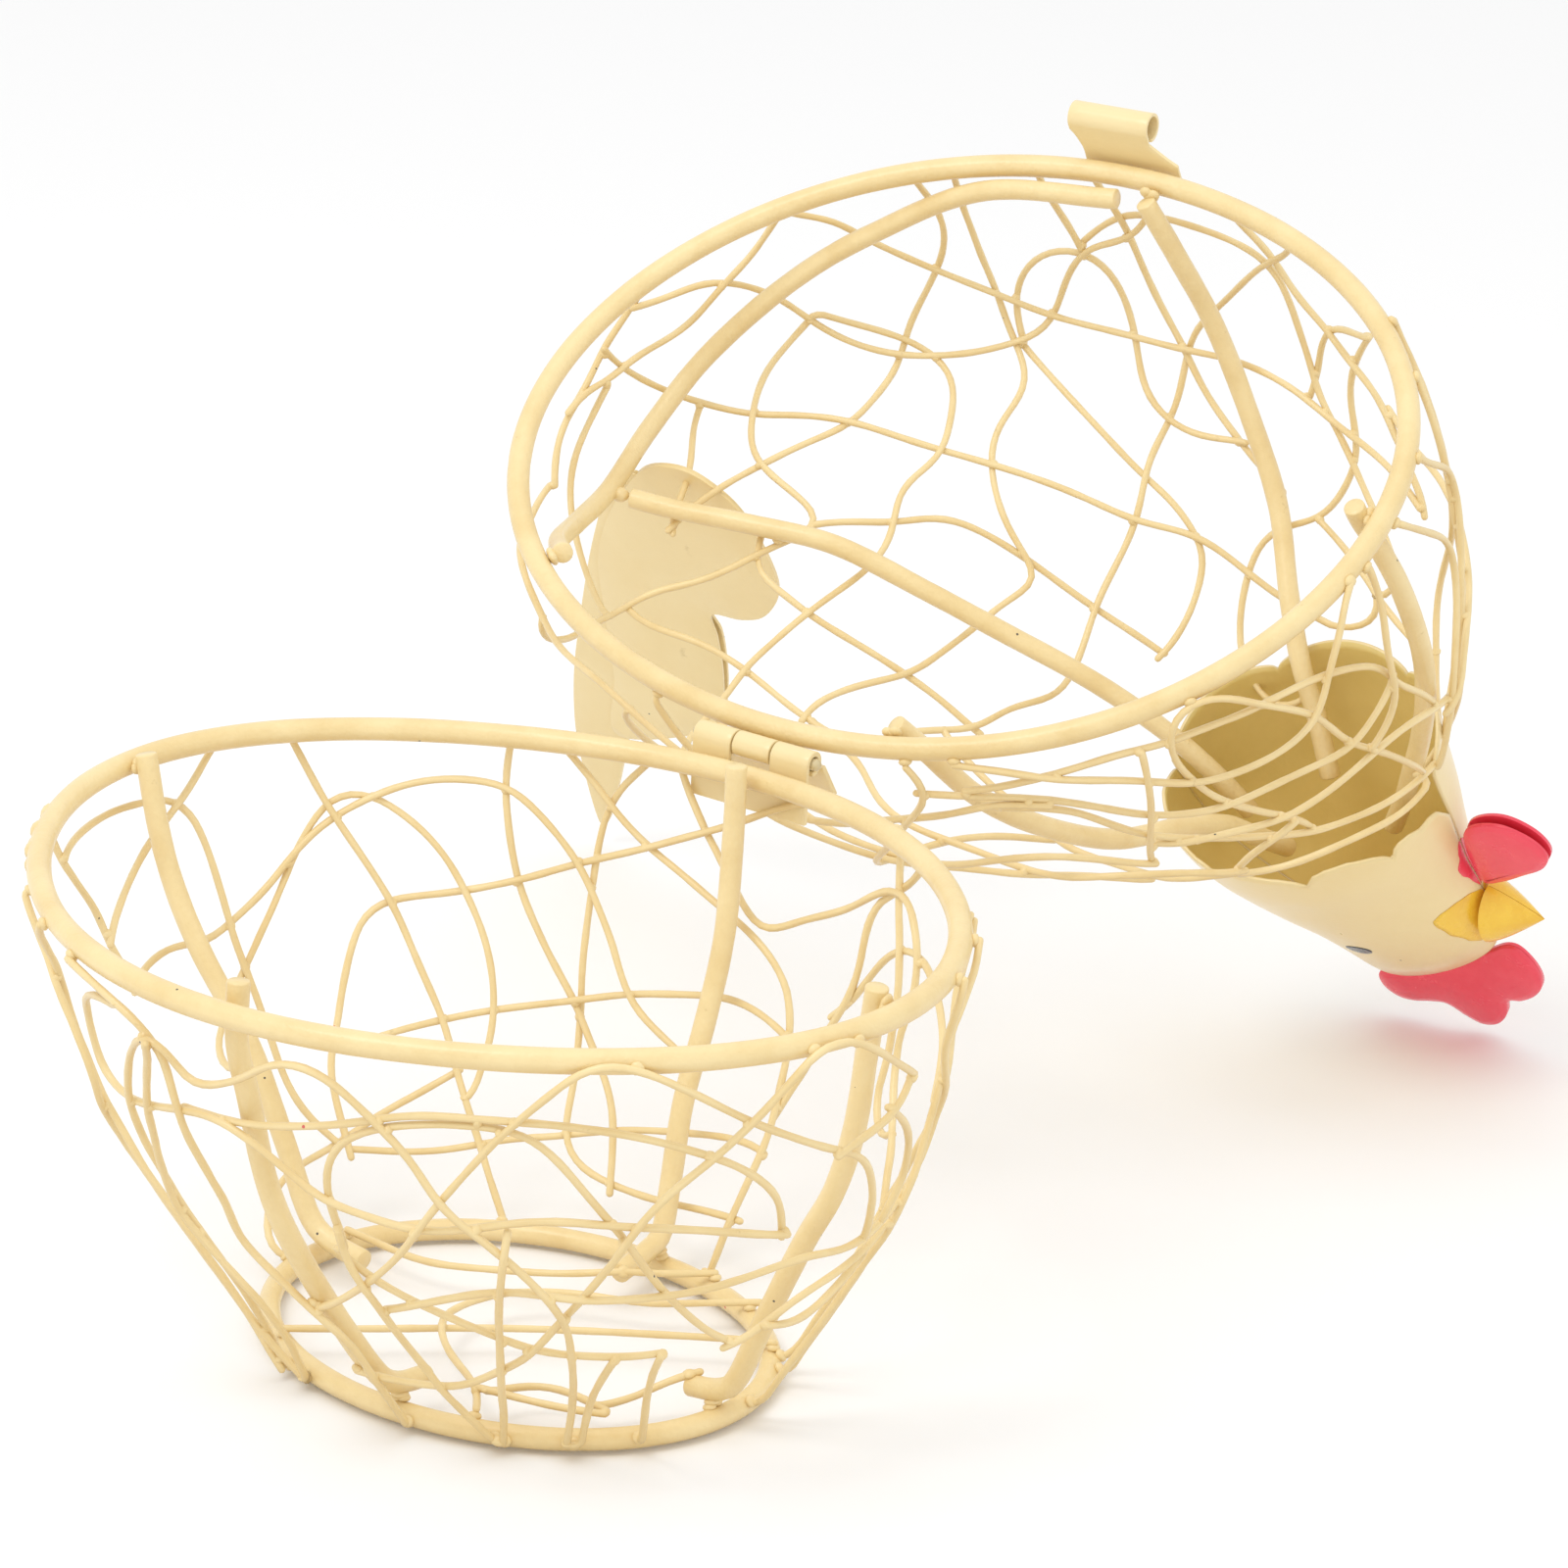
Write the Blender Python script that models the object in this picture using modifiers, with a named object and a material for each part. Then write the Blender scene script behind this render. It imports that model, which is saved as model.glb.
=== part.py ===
"""Hen-shaped wire egg basket: bowl, hinged lid with sheet-metal head and tail.

Frame: +X towards the head, +Y towards the hinge, -Y towards the latch, +Z up.
The origin is on the floor under the middle of the open basket's footprint.
The lid is described closed, and stands open by being turned back about the
hinge pin.  Tables are in millimetres, round the middle of the bowl and up from
the base ring's centre; place() turns them into metres in the part's frame.
"""
import math

import bmesh
import bpy
import numpy as np
from mathutils import Matrix, Quaternion, Vector

# ----------------------------------------------------------------- dimensions
MM = 0.001
RIM_A = 100.0           # half length of the rims, to the rod's centre
RIM_B = 81.4            # half width of the rims
BOWL_RIM_Z = 99.1
LID_RIM_Z = 105.0
LID_RIM_X = 1.0         # lid rim's middle
RIM_SADDLE = 0.8        # rise of the rims' ends, and drop of their sides
LID_RIM_TWIST = 0.5
BASE_A, BASE_B = 56.2, 43.5     # base ring's half length and half width
BASE_X, BASE_Y = 1.9, 5.4       # base ring's middle
RIM_R = 2.5             # rim and base ring rods
RIB_R = 2.3             # rib rods
WIRE_R = 0.8            # mesh wires
FLOOR_DROP = 2.31       # base ring's centre above the floor
FLOOR_MESH_Z = 3.75     # bottom mesh, just over the base ring
SHEET = 0.8             # sheet metal thickness
SHIFT_X, SHIFT_Y = 31.1, -95.14     # from the bowl's middle to the part's origin

# Hinge: its frame has x along the pin, y outwards and z up
HINGE = Vector((-4.1, 88.1, 102.6))     # middle of the pin
HINGE_YAW, HINGE_PITCH = math.radians(4.3), math.radians(-1.7)
OPEN_ANGLE = math.radians(146.2)
HINGE_HALF = 29.0 / 2                   # half length of the leaves
KNUCKLE_R, PIN_R = 2.8, 1.3
PIN_END = 0.5                           # pin beyond each end of the leaves
LEAF_T = 1.2                            # hinge sheet
BEND_R = KNUCKLE_R - LEAF_T / 2         # middle of the sheet round the pin
LEAF_HEIGHT = 13.0                      # leaf's far edge from the pin's centre

# Latch tab's root, where it is welded outside the lid rim
LATCH_X, LATCH_Y = 6.0, -85.2

# Paints: base colour and roughness
CREAM = ((0.86, 0.70, 0.38), 0.42)
RED = ((0.85, 0.06, 0.10), 0.3)
YELLOW = ((0.90, 0.55, 0.05), 0.4)
SHARP_ANGLE = math.radians(50)          # edges sharper than this stay sharp

# --------------------------------------------------------------- scene set-up
for old in list(bpy.data.objects):
    bpy.data.objects.remove(old, do_unlink=True)
for old in list(bpy.data.meshes):
    bpy.data.meshes.remove(old)
parts = bpy.data.collections.new("hen_egg_basket")
bpy.context.scene.collection.children.link(parts)


def place(point):
    """A table point in millimetres as a point of the part in metres."""
    x, y, z = point
    return Vector((x + SHIFT_X, y + SHIFT_Y, z + FLOOR_DROP)) * MM


def hinge_frame():
    along = Vector((math.cos(HINGE_YAW) * math.cos(HINGE_PITCH),
                    math.sin(HINGE_YAW) * math.cos(HINGE_PITCH),
                    math.sin(HINGE_PITCH)))
    up = Vector((0, 0, 1)) - along * along.z
    up.normalize()
    return Matrix((along, up.cross(along), up)).transposed()


HINGE_FRAME = hinge_frame()


def hinge_point(x, y, z):
    """A point given in the hinge's frame, from the middle of the pin."""
    return HINGE + HINGE_FRAME @ Vector((x, y, z))


lid_axis = bpy.data.objects.new("lid_axis", None)
parts.objects.link(lid_axis)
lid_axis.location = place(HINGE)
lid_axis.rotation_mode = "QUATERNION"
lid_axis.rotation_quaternion = Quaternion(HINGE_FRAME.col[0], -OPEN_ANGLE)


# ------------------------------------------------------------ object builders
def material(name, paint):
    colour, roughness = paint
    new = bpy.data.materials.new(name)
    new.use_nodes = True
    shader = new.node_tree.nodes["Principled BSDF"]
    shader.inputs["Base Color"].default_value = (*colour, 1)
    shader.inputs["Roughness"].default_value = roughness
    return new


def finish(part, body, paint=CREAM, smooth=True):
    """Paint the part, put it in the collection and on its body, bowl or lid."""
    parts.objects.link(part)
    part.data.materials.append(material(part.name + "_paint", paint))
    if smooth and part.type == "MESH":
        part.data.shade_smooth()
        part.data.set_sharp_from_angle(angle=SHARP_ANGLE)
    if body == "lid":
        part.parent = lid_axis
        part.location = -lid_axis.location


def rod(name, points, radius, body, cyclic=False, resolution=2):
    """A round rod along a polyline, with flat cut ends."""
    curve = bpy.data.curves.new(name, "CURVE")
    curve.dimensions = "3D"
    curve.bevel_depth = radius * MM
    curve.bevel_resolution = resolution
    curve.use_fill_caps = not cyclic
    line = curve.splines.new("POLY")
    line.points.add(len(points) - 1)
    for i, point in enumerate(points):
        line.points[i].co = (*place(point), 1)
    line.use_cyclic_u = cyclic
    line.use_smooth = True
    finish(bpy.data.objects.new(name, curve), body)


def mesh_object(name, build):
    """An object from a bmesh, which is freed."""
    mesh = bpy.data.meshes.new(name)
    build.to_mesh(mesh)
    build.free()
    return bpy.data.objects.new(name, mesh)


def sheet(name, rows, body, thickness=SHEET, offset=0.0, even_offset=True,
          flip=False, is_cut=lambda i, j: False):
    """Sheet metal over rows of points; is_cut names the cells left open."""
    build = bmesh.new()
    grid = [[build.verts.new(place(point)) for point in row] for row in rows]
    for i in range(len(grid) - 1):
        for j in range(len(grid[i]) - 1):
            if is_cut(i, j):
                continue
            cell = (grid[i][j], grid[i][j + 1], grid[i + 1][j + 1], grid[i + 1][j])
            build.faces.new(cell[::-1] if flip else cell)
    loose = [vert for vert in build.verts if not vert.link_faces]
    bmesh.ops.delete(build, geom=loose, context="VERTS")
    part = mesh_object(name, build)
    solidify = part.modifiers.new("sheet", "SOLIDIFY")
    solidify.thickness = thickness * MM
    solidify.offset = offset
    solidify.use_even_offset = even_offset
    finish(part, body)


def plate(name, outline, thickness, middle_y, paint=CREAM):
    """A flat outline in the x-z plane, given a thickness, then leaned:
    middle_y gives the plate's middle y at height z.  All plates are on the lid."""
    curve = bpy.data.curves.new(name, "CURVE")
    curve.dimensions = "2D"
    curve.fill_mode = "BOTH"
    curve.extrude = thickness / 2 * MM
    line = curve.splines.new("POLY")
    line.points.add(len(outline) - 1)
    for i, (x, z) in enumerate(outline):
        line.points[i].co = (x * MM, z * MM, 0, 1)
    line.use_cyclic_u = True
    flat = bpy.data.objects.new(name + "_outline", curve)
    bpy.context.scene.collection.objects.link(flat)
    depsgraph = bpy.context.evaluated_depsgraph_get()
    flat_mesh = bpy.data.meshes.new_from_object(flat.evaluated_get(depsgraph))
    bpy.data.objects.remove(flat, do_unlink=True)
    build = bmesh.new()
    build.from_mesh(flat_mesh)
    bpy.data.meshes.remove(flat_mesh)
    bmesh.ops.remove_doubles(build, verts=build.verts, dist=1e-6)
    for vert in build.verts:
        x, z, depth = vert.co / MM
        vert.co = place((x, middle_y(z) - depth, z))
    bmesh.ops.recalc_face_normals(build, faces=build.faces)
    finish(mesh_object(name, build), "lid", paint, smooth=False)


# --------------------------------------------------------------------- curves
CURVE_PARTS = 12        # points worked out between two control points


def catmull_rom(stations, i, u):
    """The curve's value at share u between stations i and i + 1."""
    p1, p2 = stations[i], stations[i + 1]
    p0 = stations[i - 1] if i > 0 else 2 * p1 - p2
    p3 = stations[i + 2] if i + 2 < len(stations) else 2 * p2 - p1
    return 0.5 * ((2 * p1) + (-p0 + p2) * u
                  + (2 * p0 - 5 * p1 + 4 * p2 - p3) * u ** 2
                  + (-p0 + 3 * p1 - 3 * p2 + p3) * u ** 3)


def spline(control):
    """Close points along a Catmull-Rom curve through the control points."""
    control = np.array(control, float)
    points = [catmull_rom(control, i, k / CURVE_PARTS)
              for i in range(len(control) - 1) for k in range(CURVE_PARTS)]
    return np.array(points + [control[-1]])


def run_lengths(points):
    """The length along a polyline at each of its points."""
    return np.r_[0, np.cumsum(np.linalg.norm(np.diff(points, axis=0), axis=1))]


def resample(values, lengths, step, least):
    """Values given at these lengths, taken again at about the given spacing."""
    count = max(least, int(round(lengths[-1] / step)) + 1)
    at = np.linspace(0, lengths[-1], count)
    return np.stack([np.interp(at, lengths, column) for column in values.T], 1)


def even(points, step):
    points = np.asarray(points, float)
    return resample(points, run_lengths(points), step, least=2)


# -------------------------------------------------------- rims and base ring
# Waves that make the ovals uneven: waves per turn, cosine share, sine share
BOWL_WAVES = [(3, 0.0027, 0.0), (4, 0.0122, -0.0105)]
LID_WAVES = [(2, 0.0, -0.017), (3, -0.010, 0.0), (4, 0.0, -0.007)]


def oval(waves, t, share=1.0):
    """A point on a unit circle with the given share of the waves."""
    r = 1 + share * sum(c * math.cos(n * t) + s * math.sin(n * t) for n, c, s in waves)
    return r * math.cos(t), r * math.sin(t)


def bowl_rim_point(t):
    x, y = oval(BOWL_WAVES, t)
    return (RIM_A * x, RIM_B * y, BOWL_RIM_Z + RIM_SADDLE * math.cos(2 * t))


def lid_rim_point(t):
    x, y = oval(LID_WAVES, t)
    return (RIM_A * x + LID_RIM_X, RIM_B * y,
            LID_RIM_Z + RIM_SADDLE * math.cos(2 * t) - LID_RIM_TWIST * math.sin(2 * t))


def base_point(t):
    return (BASE_X + BASE_A * math.cos(t), BASE_Y + BASE_B * math.sin(t), 0.0)


def ring_points(point_at, count):
    return [point_at(2 * math.pi * i / count) for i in range(count)]


def base_ring():
    """A torus laid on the oval, its section turned half a facet so that it
    stands on a flat."""
    facets = 8
    bpy.ops.mesh.primitive_torus_add(major_segments=56, minor_segments=facets,
                                     major_radius=1.0, minor_radius=0.1)
    ring = bpy.context.active_object
    ring.name = ring.data.name = "base_ring"
    for vert in ring.data.vertices:
        t = math.atan2(vert.co.y, vert.co.x)
        section = math.atan2(vert.co.z, math.hypot(vert.co.x, vert.co.y) - 1.0)
        section += math.pi / facets
        normal_x, normal_y = math.cos(t) / BASE_A, math.sin(t) / BASE_B
        out = RIM_R * math.cos(section) / math.hypot(normal_x, normal_y)
        x, y, z = base_point(t)
        vert.co = place((x + out * normal_x, y + out * normal_y,
                         z + RIM_R * math.sin(section)))
    for collection in list(ring.users_collection):
        collection.objects.unlink(ring)
    finish(ring, "bowl")


rod("bowl_rim", ring_points(bowl_rim_point, 72), RIM_R, "bowl", cyclic=True)
rod("lid_rim", ring_points(lid_rim_point, 72), RIM_R, "lid", cyclic=True)
base_ring()

# ----------------------------------------------------------------------- ribs
# Control points (x, y, z).  Each bowl rib stands inside the rim, follows the
# bowl's side and lies on the base ring with its cut end pointing inwards.
RIB_STEP = 9.0
BOWL_RIBS = {
    "bowl_rib_tail": [(-95.6, 0, 103), (-92.5, 0, 88), (-89, 1, 75), (-82, 1.5, 62),
                      (-70, 2.5, 45), (-61, 3.5, 25), (-54.5, 4, 9.5), (-48, 4, 5.2),
                      (-39, 3.5, 4.0)],
    "bowl_rib_head": [(95.4, 0, 103), (93.5, 0, 90), (91, 0, 73), (86, 0.5, 58),
                      (79, 0.5, 45), (70, 0.5, 26), (62.5, 1, 10), (57.5, 1, 6.2),
                      (51, 1, 5.0)],
    "bowl_rib_latch": [(1, -75.4, 102), (1, -76, 90), (2, -74, 78), (2.5, -70, 60),
                       (4, -65, 46), (5.5, -55, 28), (7, -44, 11), (7.5, -38, 6.3),
                       (8, -30, 5.0)],
    "bowl_rib_hinge": [(0.5, 75.5, 103), (0.5, 75, 89), (1, 72, 67), (1, 66, 49),
                       (2, 58, 34), (3, 53, 18), (3.5, 49.5, 7.2), (4.5, 43, 5.2),
                       (6, 33, 4.6)],
}
LID_RIBS = {
    "lid_rib_latch": [(14, -74.6, 104), (19, -73, 118), (25, -71, 138),
                      (33, -63, 158), (42, -51, 172), (50, -34, 182),
                      (56, -22.5, 191), (60, -17, 201), (64, -10, 213)],
    "lid_rib_hinge": [(22, 74.0, 104), (26, 73, 112), (33, 70, 130),
                      (40, 62, 148), (47, 49, 167), (53, 33, 181),
                      (57, 23.5, 191), (60, 18, 201), (63, 12, 212)],
    "lid_hoop": [(6, -75.2, 105), (-26, -72.0, 106.5), (-52, -62, 116),
                 (-70, -50, 124), (-86, -33, 134), (-93.5, -14, 140),
                 (-94.5, 5, 140), (-92, 21, 132), (-85, 36, 119), (-73.4, 48.2, 105.6)],
    "lid_spine": [(-89.0, 5.2, 141.5), (-79, 4, 144), (-60, 2, 146.5), (-41, 0, 150.5),
                  (-20, 0, 161), (-4, 0, 170), (12, 0, 179), (23, 0, 187),
                  (33, 0, 197), (41, 0, 208), (47, 0, 219)],
    "lid_rib_head": [(94.2, -4, 103.5), (95.0, -4, 108), (98.5, -3, 116),
                     (101.5, -2, 127), (103, -1, 144), (101.5, 0, 160), (97, 0, 177),
                     (92.5, 0, 190), (89, 0, 200), (84, 0, 212)],
}
for body, ribs in (("bowl", BOWL_RIBS), ("lid", LID_RIBS)):
    for name, control in ribs.items():
        rod(name, even(spline(control), RIB_STEP), RIB_R, body)

# ------------------------------------------------------- surfaces of the mesh
# The bowl's skin: heights, and the half length and half width at each
BOWL_SKIN_Z = [0, 10, 20, 30, 43, 57, 70, 84, 95, 104]
BOWL_SKIN_A = [59.8, 66, 72.5, 78.5, 86, 92, 95.8, 99, 103.2, 104.8]
BOWL_SKIN_B = [47.1, 51, 56, 61.5, 68, 73.5, 77, 79.8, 84.2, 85.6]
# Closed rings of the lid's skin, at even shares of the way from the rim to the
# neck: head x, tail x, half width, head z, tail z, side z
LID_RINGS = np.array([
    [103.6, -102.6, 84.6, 105, 105, 105],
    [106.6, -104.5, 84.0, 124, 124, 125],
    [107.2, -96.0, 76.0, 146, 145, 151],
    [104.6, -48.0, 57.0, 170, 154, 171],
    [97.0, 27.0, 28.0, 192, 207, 202]])


def bowl_skin(degrees, z):
    t = math.radians(degrees)
    share = z / BOWL_RIM_Z
    x, y = oval(BOWL_WAVES, t, min(1, max(0, share)))
    half_length = np.interp(z, BOWL_SKIN_Z, BOWL_SKIN_A)
    half_width = np.interp(z, BOWL_SKIN_Z, BOWL_SKIN_B)
    base_share = max(0.0, 1 - share)
    return np.array((half_length * x + BASE_X * base_share,
                     half_width * y + BASE_Y * base_share,
                     z + RIM_SADDLE * math.cos(2 * t) * share))


def lid_skin(degrees, share):
    t = math.radians(degrees)
    share = min(1.0, max(0.0, share))
    last = len(LID_RINGS) - 1
    i = min(last - 1, int(share * last))
    ring = catmull_rom(LID_RINGS, i, share * last - i)
    head_x, tail_x, half_width, head_z, tail_z, side_z = ring
    x, y = oval(LID_WAVES, t, 1 - share)
    middle_z = (head_z + tail_z) / 2
    return np.array(((head_x + tail_x) / 2 + (head_x - tail_x) / 2 * x,
                     half_width * y,
                     middle_z + (head_z - tail_z) / 2 * math.cos(t)
                     + (side_z - middle_z) * math.sin(t) ** 2))


def floor_skin(x, y):
    return np.array((x, y, FLOOR_MESH_Z))


def skin_path(skin, control, step):
    """Waypoints on a skin become surface points with outward normals."""
    waypoints = spline(control)
    surface = np.array([skin(a, h) for a, h in waypoints])
    waypoints = resample(waypoints, run_lengths(surface), step, least=4)
    nudge = 0.01 if skin is lid_skin else 1.0
    points, normals = [], []
    for a, h in waypoints:
        across = skin(a + 1, h) - skin(a - 1, h)
        upward = skin(a, h + nudge) - skin(a, h - nudge)
        normal = np.cross(across, upward)
        points.append(skin(a, h))
        normals.append(normal / (np.linalg.norm(normal) + 1e-9))
    return np.array(points), np.array(normals)


# ----------------------------------------------------------------- mesh wires
WIRE_STEP = 6.0         # spacing of a wire's points
WIRE_GAP = 0.35 + 0.05  # room kept between rods, and a margin for the polylines
SOLID_STEP = 1.2        # spacing of the points that stand for a rod
LAID_STEP = 1.0         # spacing of the points that stand for a laid wire
REACH = 9.0             # rods within this plus a wire step are looked at
LIFT_ROUNDS = 80
LIFT_EXTRA = 0.12       # lifted this much more than is short
EASE = 0.42             # least share of its two neighbours' summed lift
EASE_ROUNDS = 2


def shortfall(points, centres, needed):
    """How far each segment of a polyline is from being clear of the centres."""
    start, along = points[:-1], points[1:] - points[:-1]
    offset = centres[:, None, :] - start[None]
    t = (offset * along[None]).sum(2) / ((along ** 2).sum(1)[None] + 1e-12)
    t = np.clip(t, 0, 1)
    distance = np.linalg.norm(offset - along[None] * t[:, :, None], axis=2)
    return (needed[:, None] - distance).max(0)


def drape(wires, solids):
    """Lay wires over the skins one after another: each passes over those
    already laid and over the rods, lifted only where it has to be."""
    lines = [even(points, SOLID_STEP) for points, _ in solids]
    centres = np.concatenate(lines)
    radii = np.concatenate([np.full(len(line), radius)
                            for line, (_, radius) in zip(lines, solids)])
    draped = {}
    for name, (skin, control) in wires.items():
        base, normals = skin_path(skin, control, WIRE_STEP)
        near = np.zeros(len(centres), bool)
        for point in base:
            near |= ((centres - point) ** 2).sum(1) < (WIRE_STEP + REACH) ** 2
        needed = radii[near] + WIRE_R + WIRE_GAP
        lift = np.zeros(len(base))
        for _ in range(LIFT_ROUNDS if near.any() else 0):
            short = shortfall(base + normals * lift[:, None], centres[near], needed)
            if short.max() <= 0:
                break
            segment_lift = np.where(short > 0, short + LIFT_EXTRA, 0)
            point_lift = np.zeros(len(lift))
            point_lift[:-1] = segment_lift
            point_lift[1:] = np.maximum(point_lift[1:], segment_lift)
            lift += point_lift
            # ease the neighbours so that the wire bends gently
            for _ in range(EASE_ROUNDS):
                lift[1:-1] = np.maximum(lift[1:-1], EASE * (lift[:-2] + lift[2:]))
        draped[name] = base + normals * lift[:, None]
        laid = even(draped[name], LAID_STEP)
        centres = np.concatenate([centres, laid])
        radii = np.concatenate([radii, np.full(len(laid), WIRE_R)])
    return draped


# Waypoints of the mesh wires.  Bowl: angle round the bowl from the head end
# (degrees, hinge side at 90) and height above the base ring (millimetres).
# Floor: x and y.  Lid: the same angle, and the share of the way from the rim to
# the neck.
BOWL_WIRES = {
    "bowl_wire_01": [(206, 84), (198.5, 88.5), (188.5, 89.5), (181.5, 89.5),
        (175, 88.5), (170, 88), (168, 80), (167.5, 75.5), (167, 68), (166.8, 60),
        (166.3, 50.5), (165.5, 44), (166, 31), (165.5, 25.5), (163, 20.5), (159, 16)],
    "bowl_wire_02": [(152.5, 98), (148.9, 83.5), (147.3, 79), (144.3, 71),
        (141.5, 63.5), (140.5, 61), (138.8, 53), (136.8, 45), (134.8, 38.5),
        (133.5, 28), (131, 18), (130, 13), (128.8, 7), (127.5, 1.5)],
    "bowl_wire_03": [(192, 54), (186, 57.5), (180, 59.5), (175, 59), (171.5, 57),
        (166.2, 60.5), (160.2, 65), (155, 71.5), (152.3, 75.5), (148.2, 79.3),
        (142.3, 84), (138, 86.5), (133.5, 88), (130.2, 88.5), (127, 88), (123.7, 88),
        (120, 83.5), (116.8, 78), (114, 73), (112.2, 67), (109.5, 59), (106.8, 49),
        (104.5, 44.5), (100, 41), (97.5, 39.5)],
    "bowl_wire_04": [(159.5, 4), (158, 9), (157.3, 15), (157, 21), (156.5, 31),
        (152.7, 37.5), (151, 43.5), (149, 49.5), (146.8, 56), (145, 60), (142.8, 62),
        (136.8, 63), (130.6, 64.3), (126.3, 66), (120, 69), (116.7, 71.3), (113.8, 73),
        (105.2, 78.3), (100.3, 82), (97, 84.5), (95, 86), (91.8, 88.5), (89.8, 91),
        (85, 95), (80, 98)],
    "bowl_wire_05": [(118, 99), (117, 97), (114.5, 93.5), (110.7, 87.5), (107.8, 82.5),
        (105.2, 78.3), (101, 75.5), (95.2, 70.5), (90.5, 67.5), (87.3, 65), (84.2, 62),
        (81.5, 58), (80.5, 54.5), (79.5, 51.5), (79, 46), (77.5, 38), (76, 29.5),
        (76.3, 20), (76.8, 14), (77, 7), (77.5, 1)],
    "bowl_wire_06": [(105, 97), (107.3, 93), (110, 89.5), (110.6, 85.5), (111.7, 78.5),
        (112.4, 73), (112.7, 65.5), (113.4, 56), (113.7, 46.5), (113.5, 36.5),
        (113.3, 29), (114, 23.5), (114.7, 17.5), (113.5, 14.5), (110, 12), (105.5, 11),
        (95.5, 10), (89.5, 10.8), (80, 12), (71, 13), (66, 13)],
    "bowl_wire_07": [(262.5, 73.5), (267, 74), (272, 74.7), (277.8, 77), (285.3, 80.3),
        (290, 83), (294, 85.2), (297.5, 86), (302.3, 86), (308, 86), (313.3, 85.5),
        (318.7, 84), (324, 82), (327.7, 79.5), (332, 77), (336.3, 73), (339.5, 68.5),
        (342, 64.5), (342, 59.5), (343, 54)],
    "bowl_wire_08": [(255, 92.5), (252.5, 93.2), (248.5, 90), (244.5, 85.5), (243, 81),
        (243.5, 77.5), (242, 72), (242.5, 69), (247.5, 67), (253, 68.5), (258.5, 71.5),
        (262.8, 74), (269, 75.5), (271.5, 73.5), (276.3, 68.5), (280.3, 62.8),
        (283.5, 61.5), (289.5, 59), (293.3, 57.8), (300.8, 60.2), (305, 62.3),
        (309, 63.5), (315, 64), (320, 63.2), (330, 61), (335.5, 59.5), (340, 58),
        (344.5, 57)],
    "bowl_wire_09": [(264.5, 26), (270, 28.5), (275, 31.5), (279, 35.5), (283.7, 41.5),
        (288, 47.5), (291.5, 54), (294, 60), (297, 66.5), (301.7, 76), (305, 83),
        (308, 88.5), (311, 93), (314.3, 98.5), (317.2, 100.5), (320, 100), (322, 98.5),
        (327, 94), (332.3, 88), (337, 83.2), (341.5, 79.8), (347.5, 74.8), (351, 73),
        (355.5, 69.5), (359, 62), (361, 55)],
    "bowl_wire_10": [(274, 13), (282, 13), (289.5, 14), (294, 14.5), (300.5, 21),
        (306.3, 27), (309, 32.5), (312, 38.5), (315.3, 46), (318, 52.5), (320, 59.5),
        (322.5, 66), (326, 71.5), (329.3, 76), (332, 79.3), (335.8, 86), (339, 92.5),
        (342.3, 99), (344.5, 101), (347.5, 100.5), (353, 95), (358.5, 89), (363, 85),
        (370, 78)],
    "bowl_wire_11": [(247, 97), (254, 95.5), (257.5, 93.5), (260, 91), (261.5, 90),
        (262, 83.7), (262.7, 79.3), (263, 75.5), (263.5, 71.5), (262.6, 66),
        (263.5, 59), (264.5, 53), (263, 45.5), (263.5, 41.5), (266.5, 37.5),
        (270.3, 34.5), (273, 31), (275.5, 26.5), (277, 20), (278.5, 12), (279.5, 4.5),
        (280, 0)],
    "bowl_wire_12": [(245, 0), (250, 20), (250, 40), (250, 60), (252.3, 73),
        (254.3, 80), (257.5, 86), (261.5, 91), (263.5, 91), (263.5, 87.5),
        (263.5, 81.5), (265.2, 79.8), (268.7, 82), (273, 85.3), (275.5, 88.5),
        (278, 92), (281, 94), (283.8, 94), (286, 91), (288, 88), (290, 83),
        (293.3, 78), (297, 67), (300, 61), (302, 59), (305.7, 53), (309, 48),
        (311.5, 43), (312.3, 40), (313, 35), (313.5, 27), (314, 14), (314, 1)],
    "bowl_wire_13": [(388, 99), (384, 92), (380, 84), (378, 76), (377, 68), (375, 60),
        (373, 52), (372, 44), (372, 36), (370, 28), (368, 20), (366, 12), (365, 4)],
    "bowl_wire_14": [(398, 97), (396, 88), (393, 78), (391, 68), (392, 58), (393, 48),
        (394, 38), (392, 28), (390, 16), (391, 5)],
}
FLOOR_WIRES = {
    "bowl_wire_15": [(-52, 13), (-37.5, 11.7), (-30.4, 11.2), (-23.4, 13.3),
        (-16.3, 17.6), (-7, 22), (8, 31), (13.5, 37.3), (20, 47)],
    "bowl_wire_16": [(24, -33), (17.3, -25.2), (2.2, -17.2), (-7.8, -7.4), (-8.9, 2.2),
        (-6.4, 12.2), (5.8, 21.4), (15.3, 24.4), (21.6, 28.5), (30.2, 37.2), (36, 42)],
}
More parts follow.
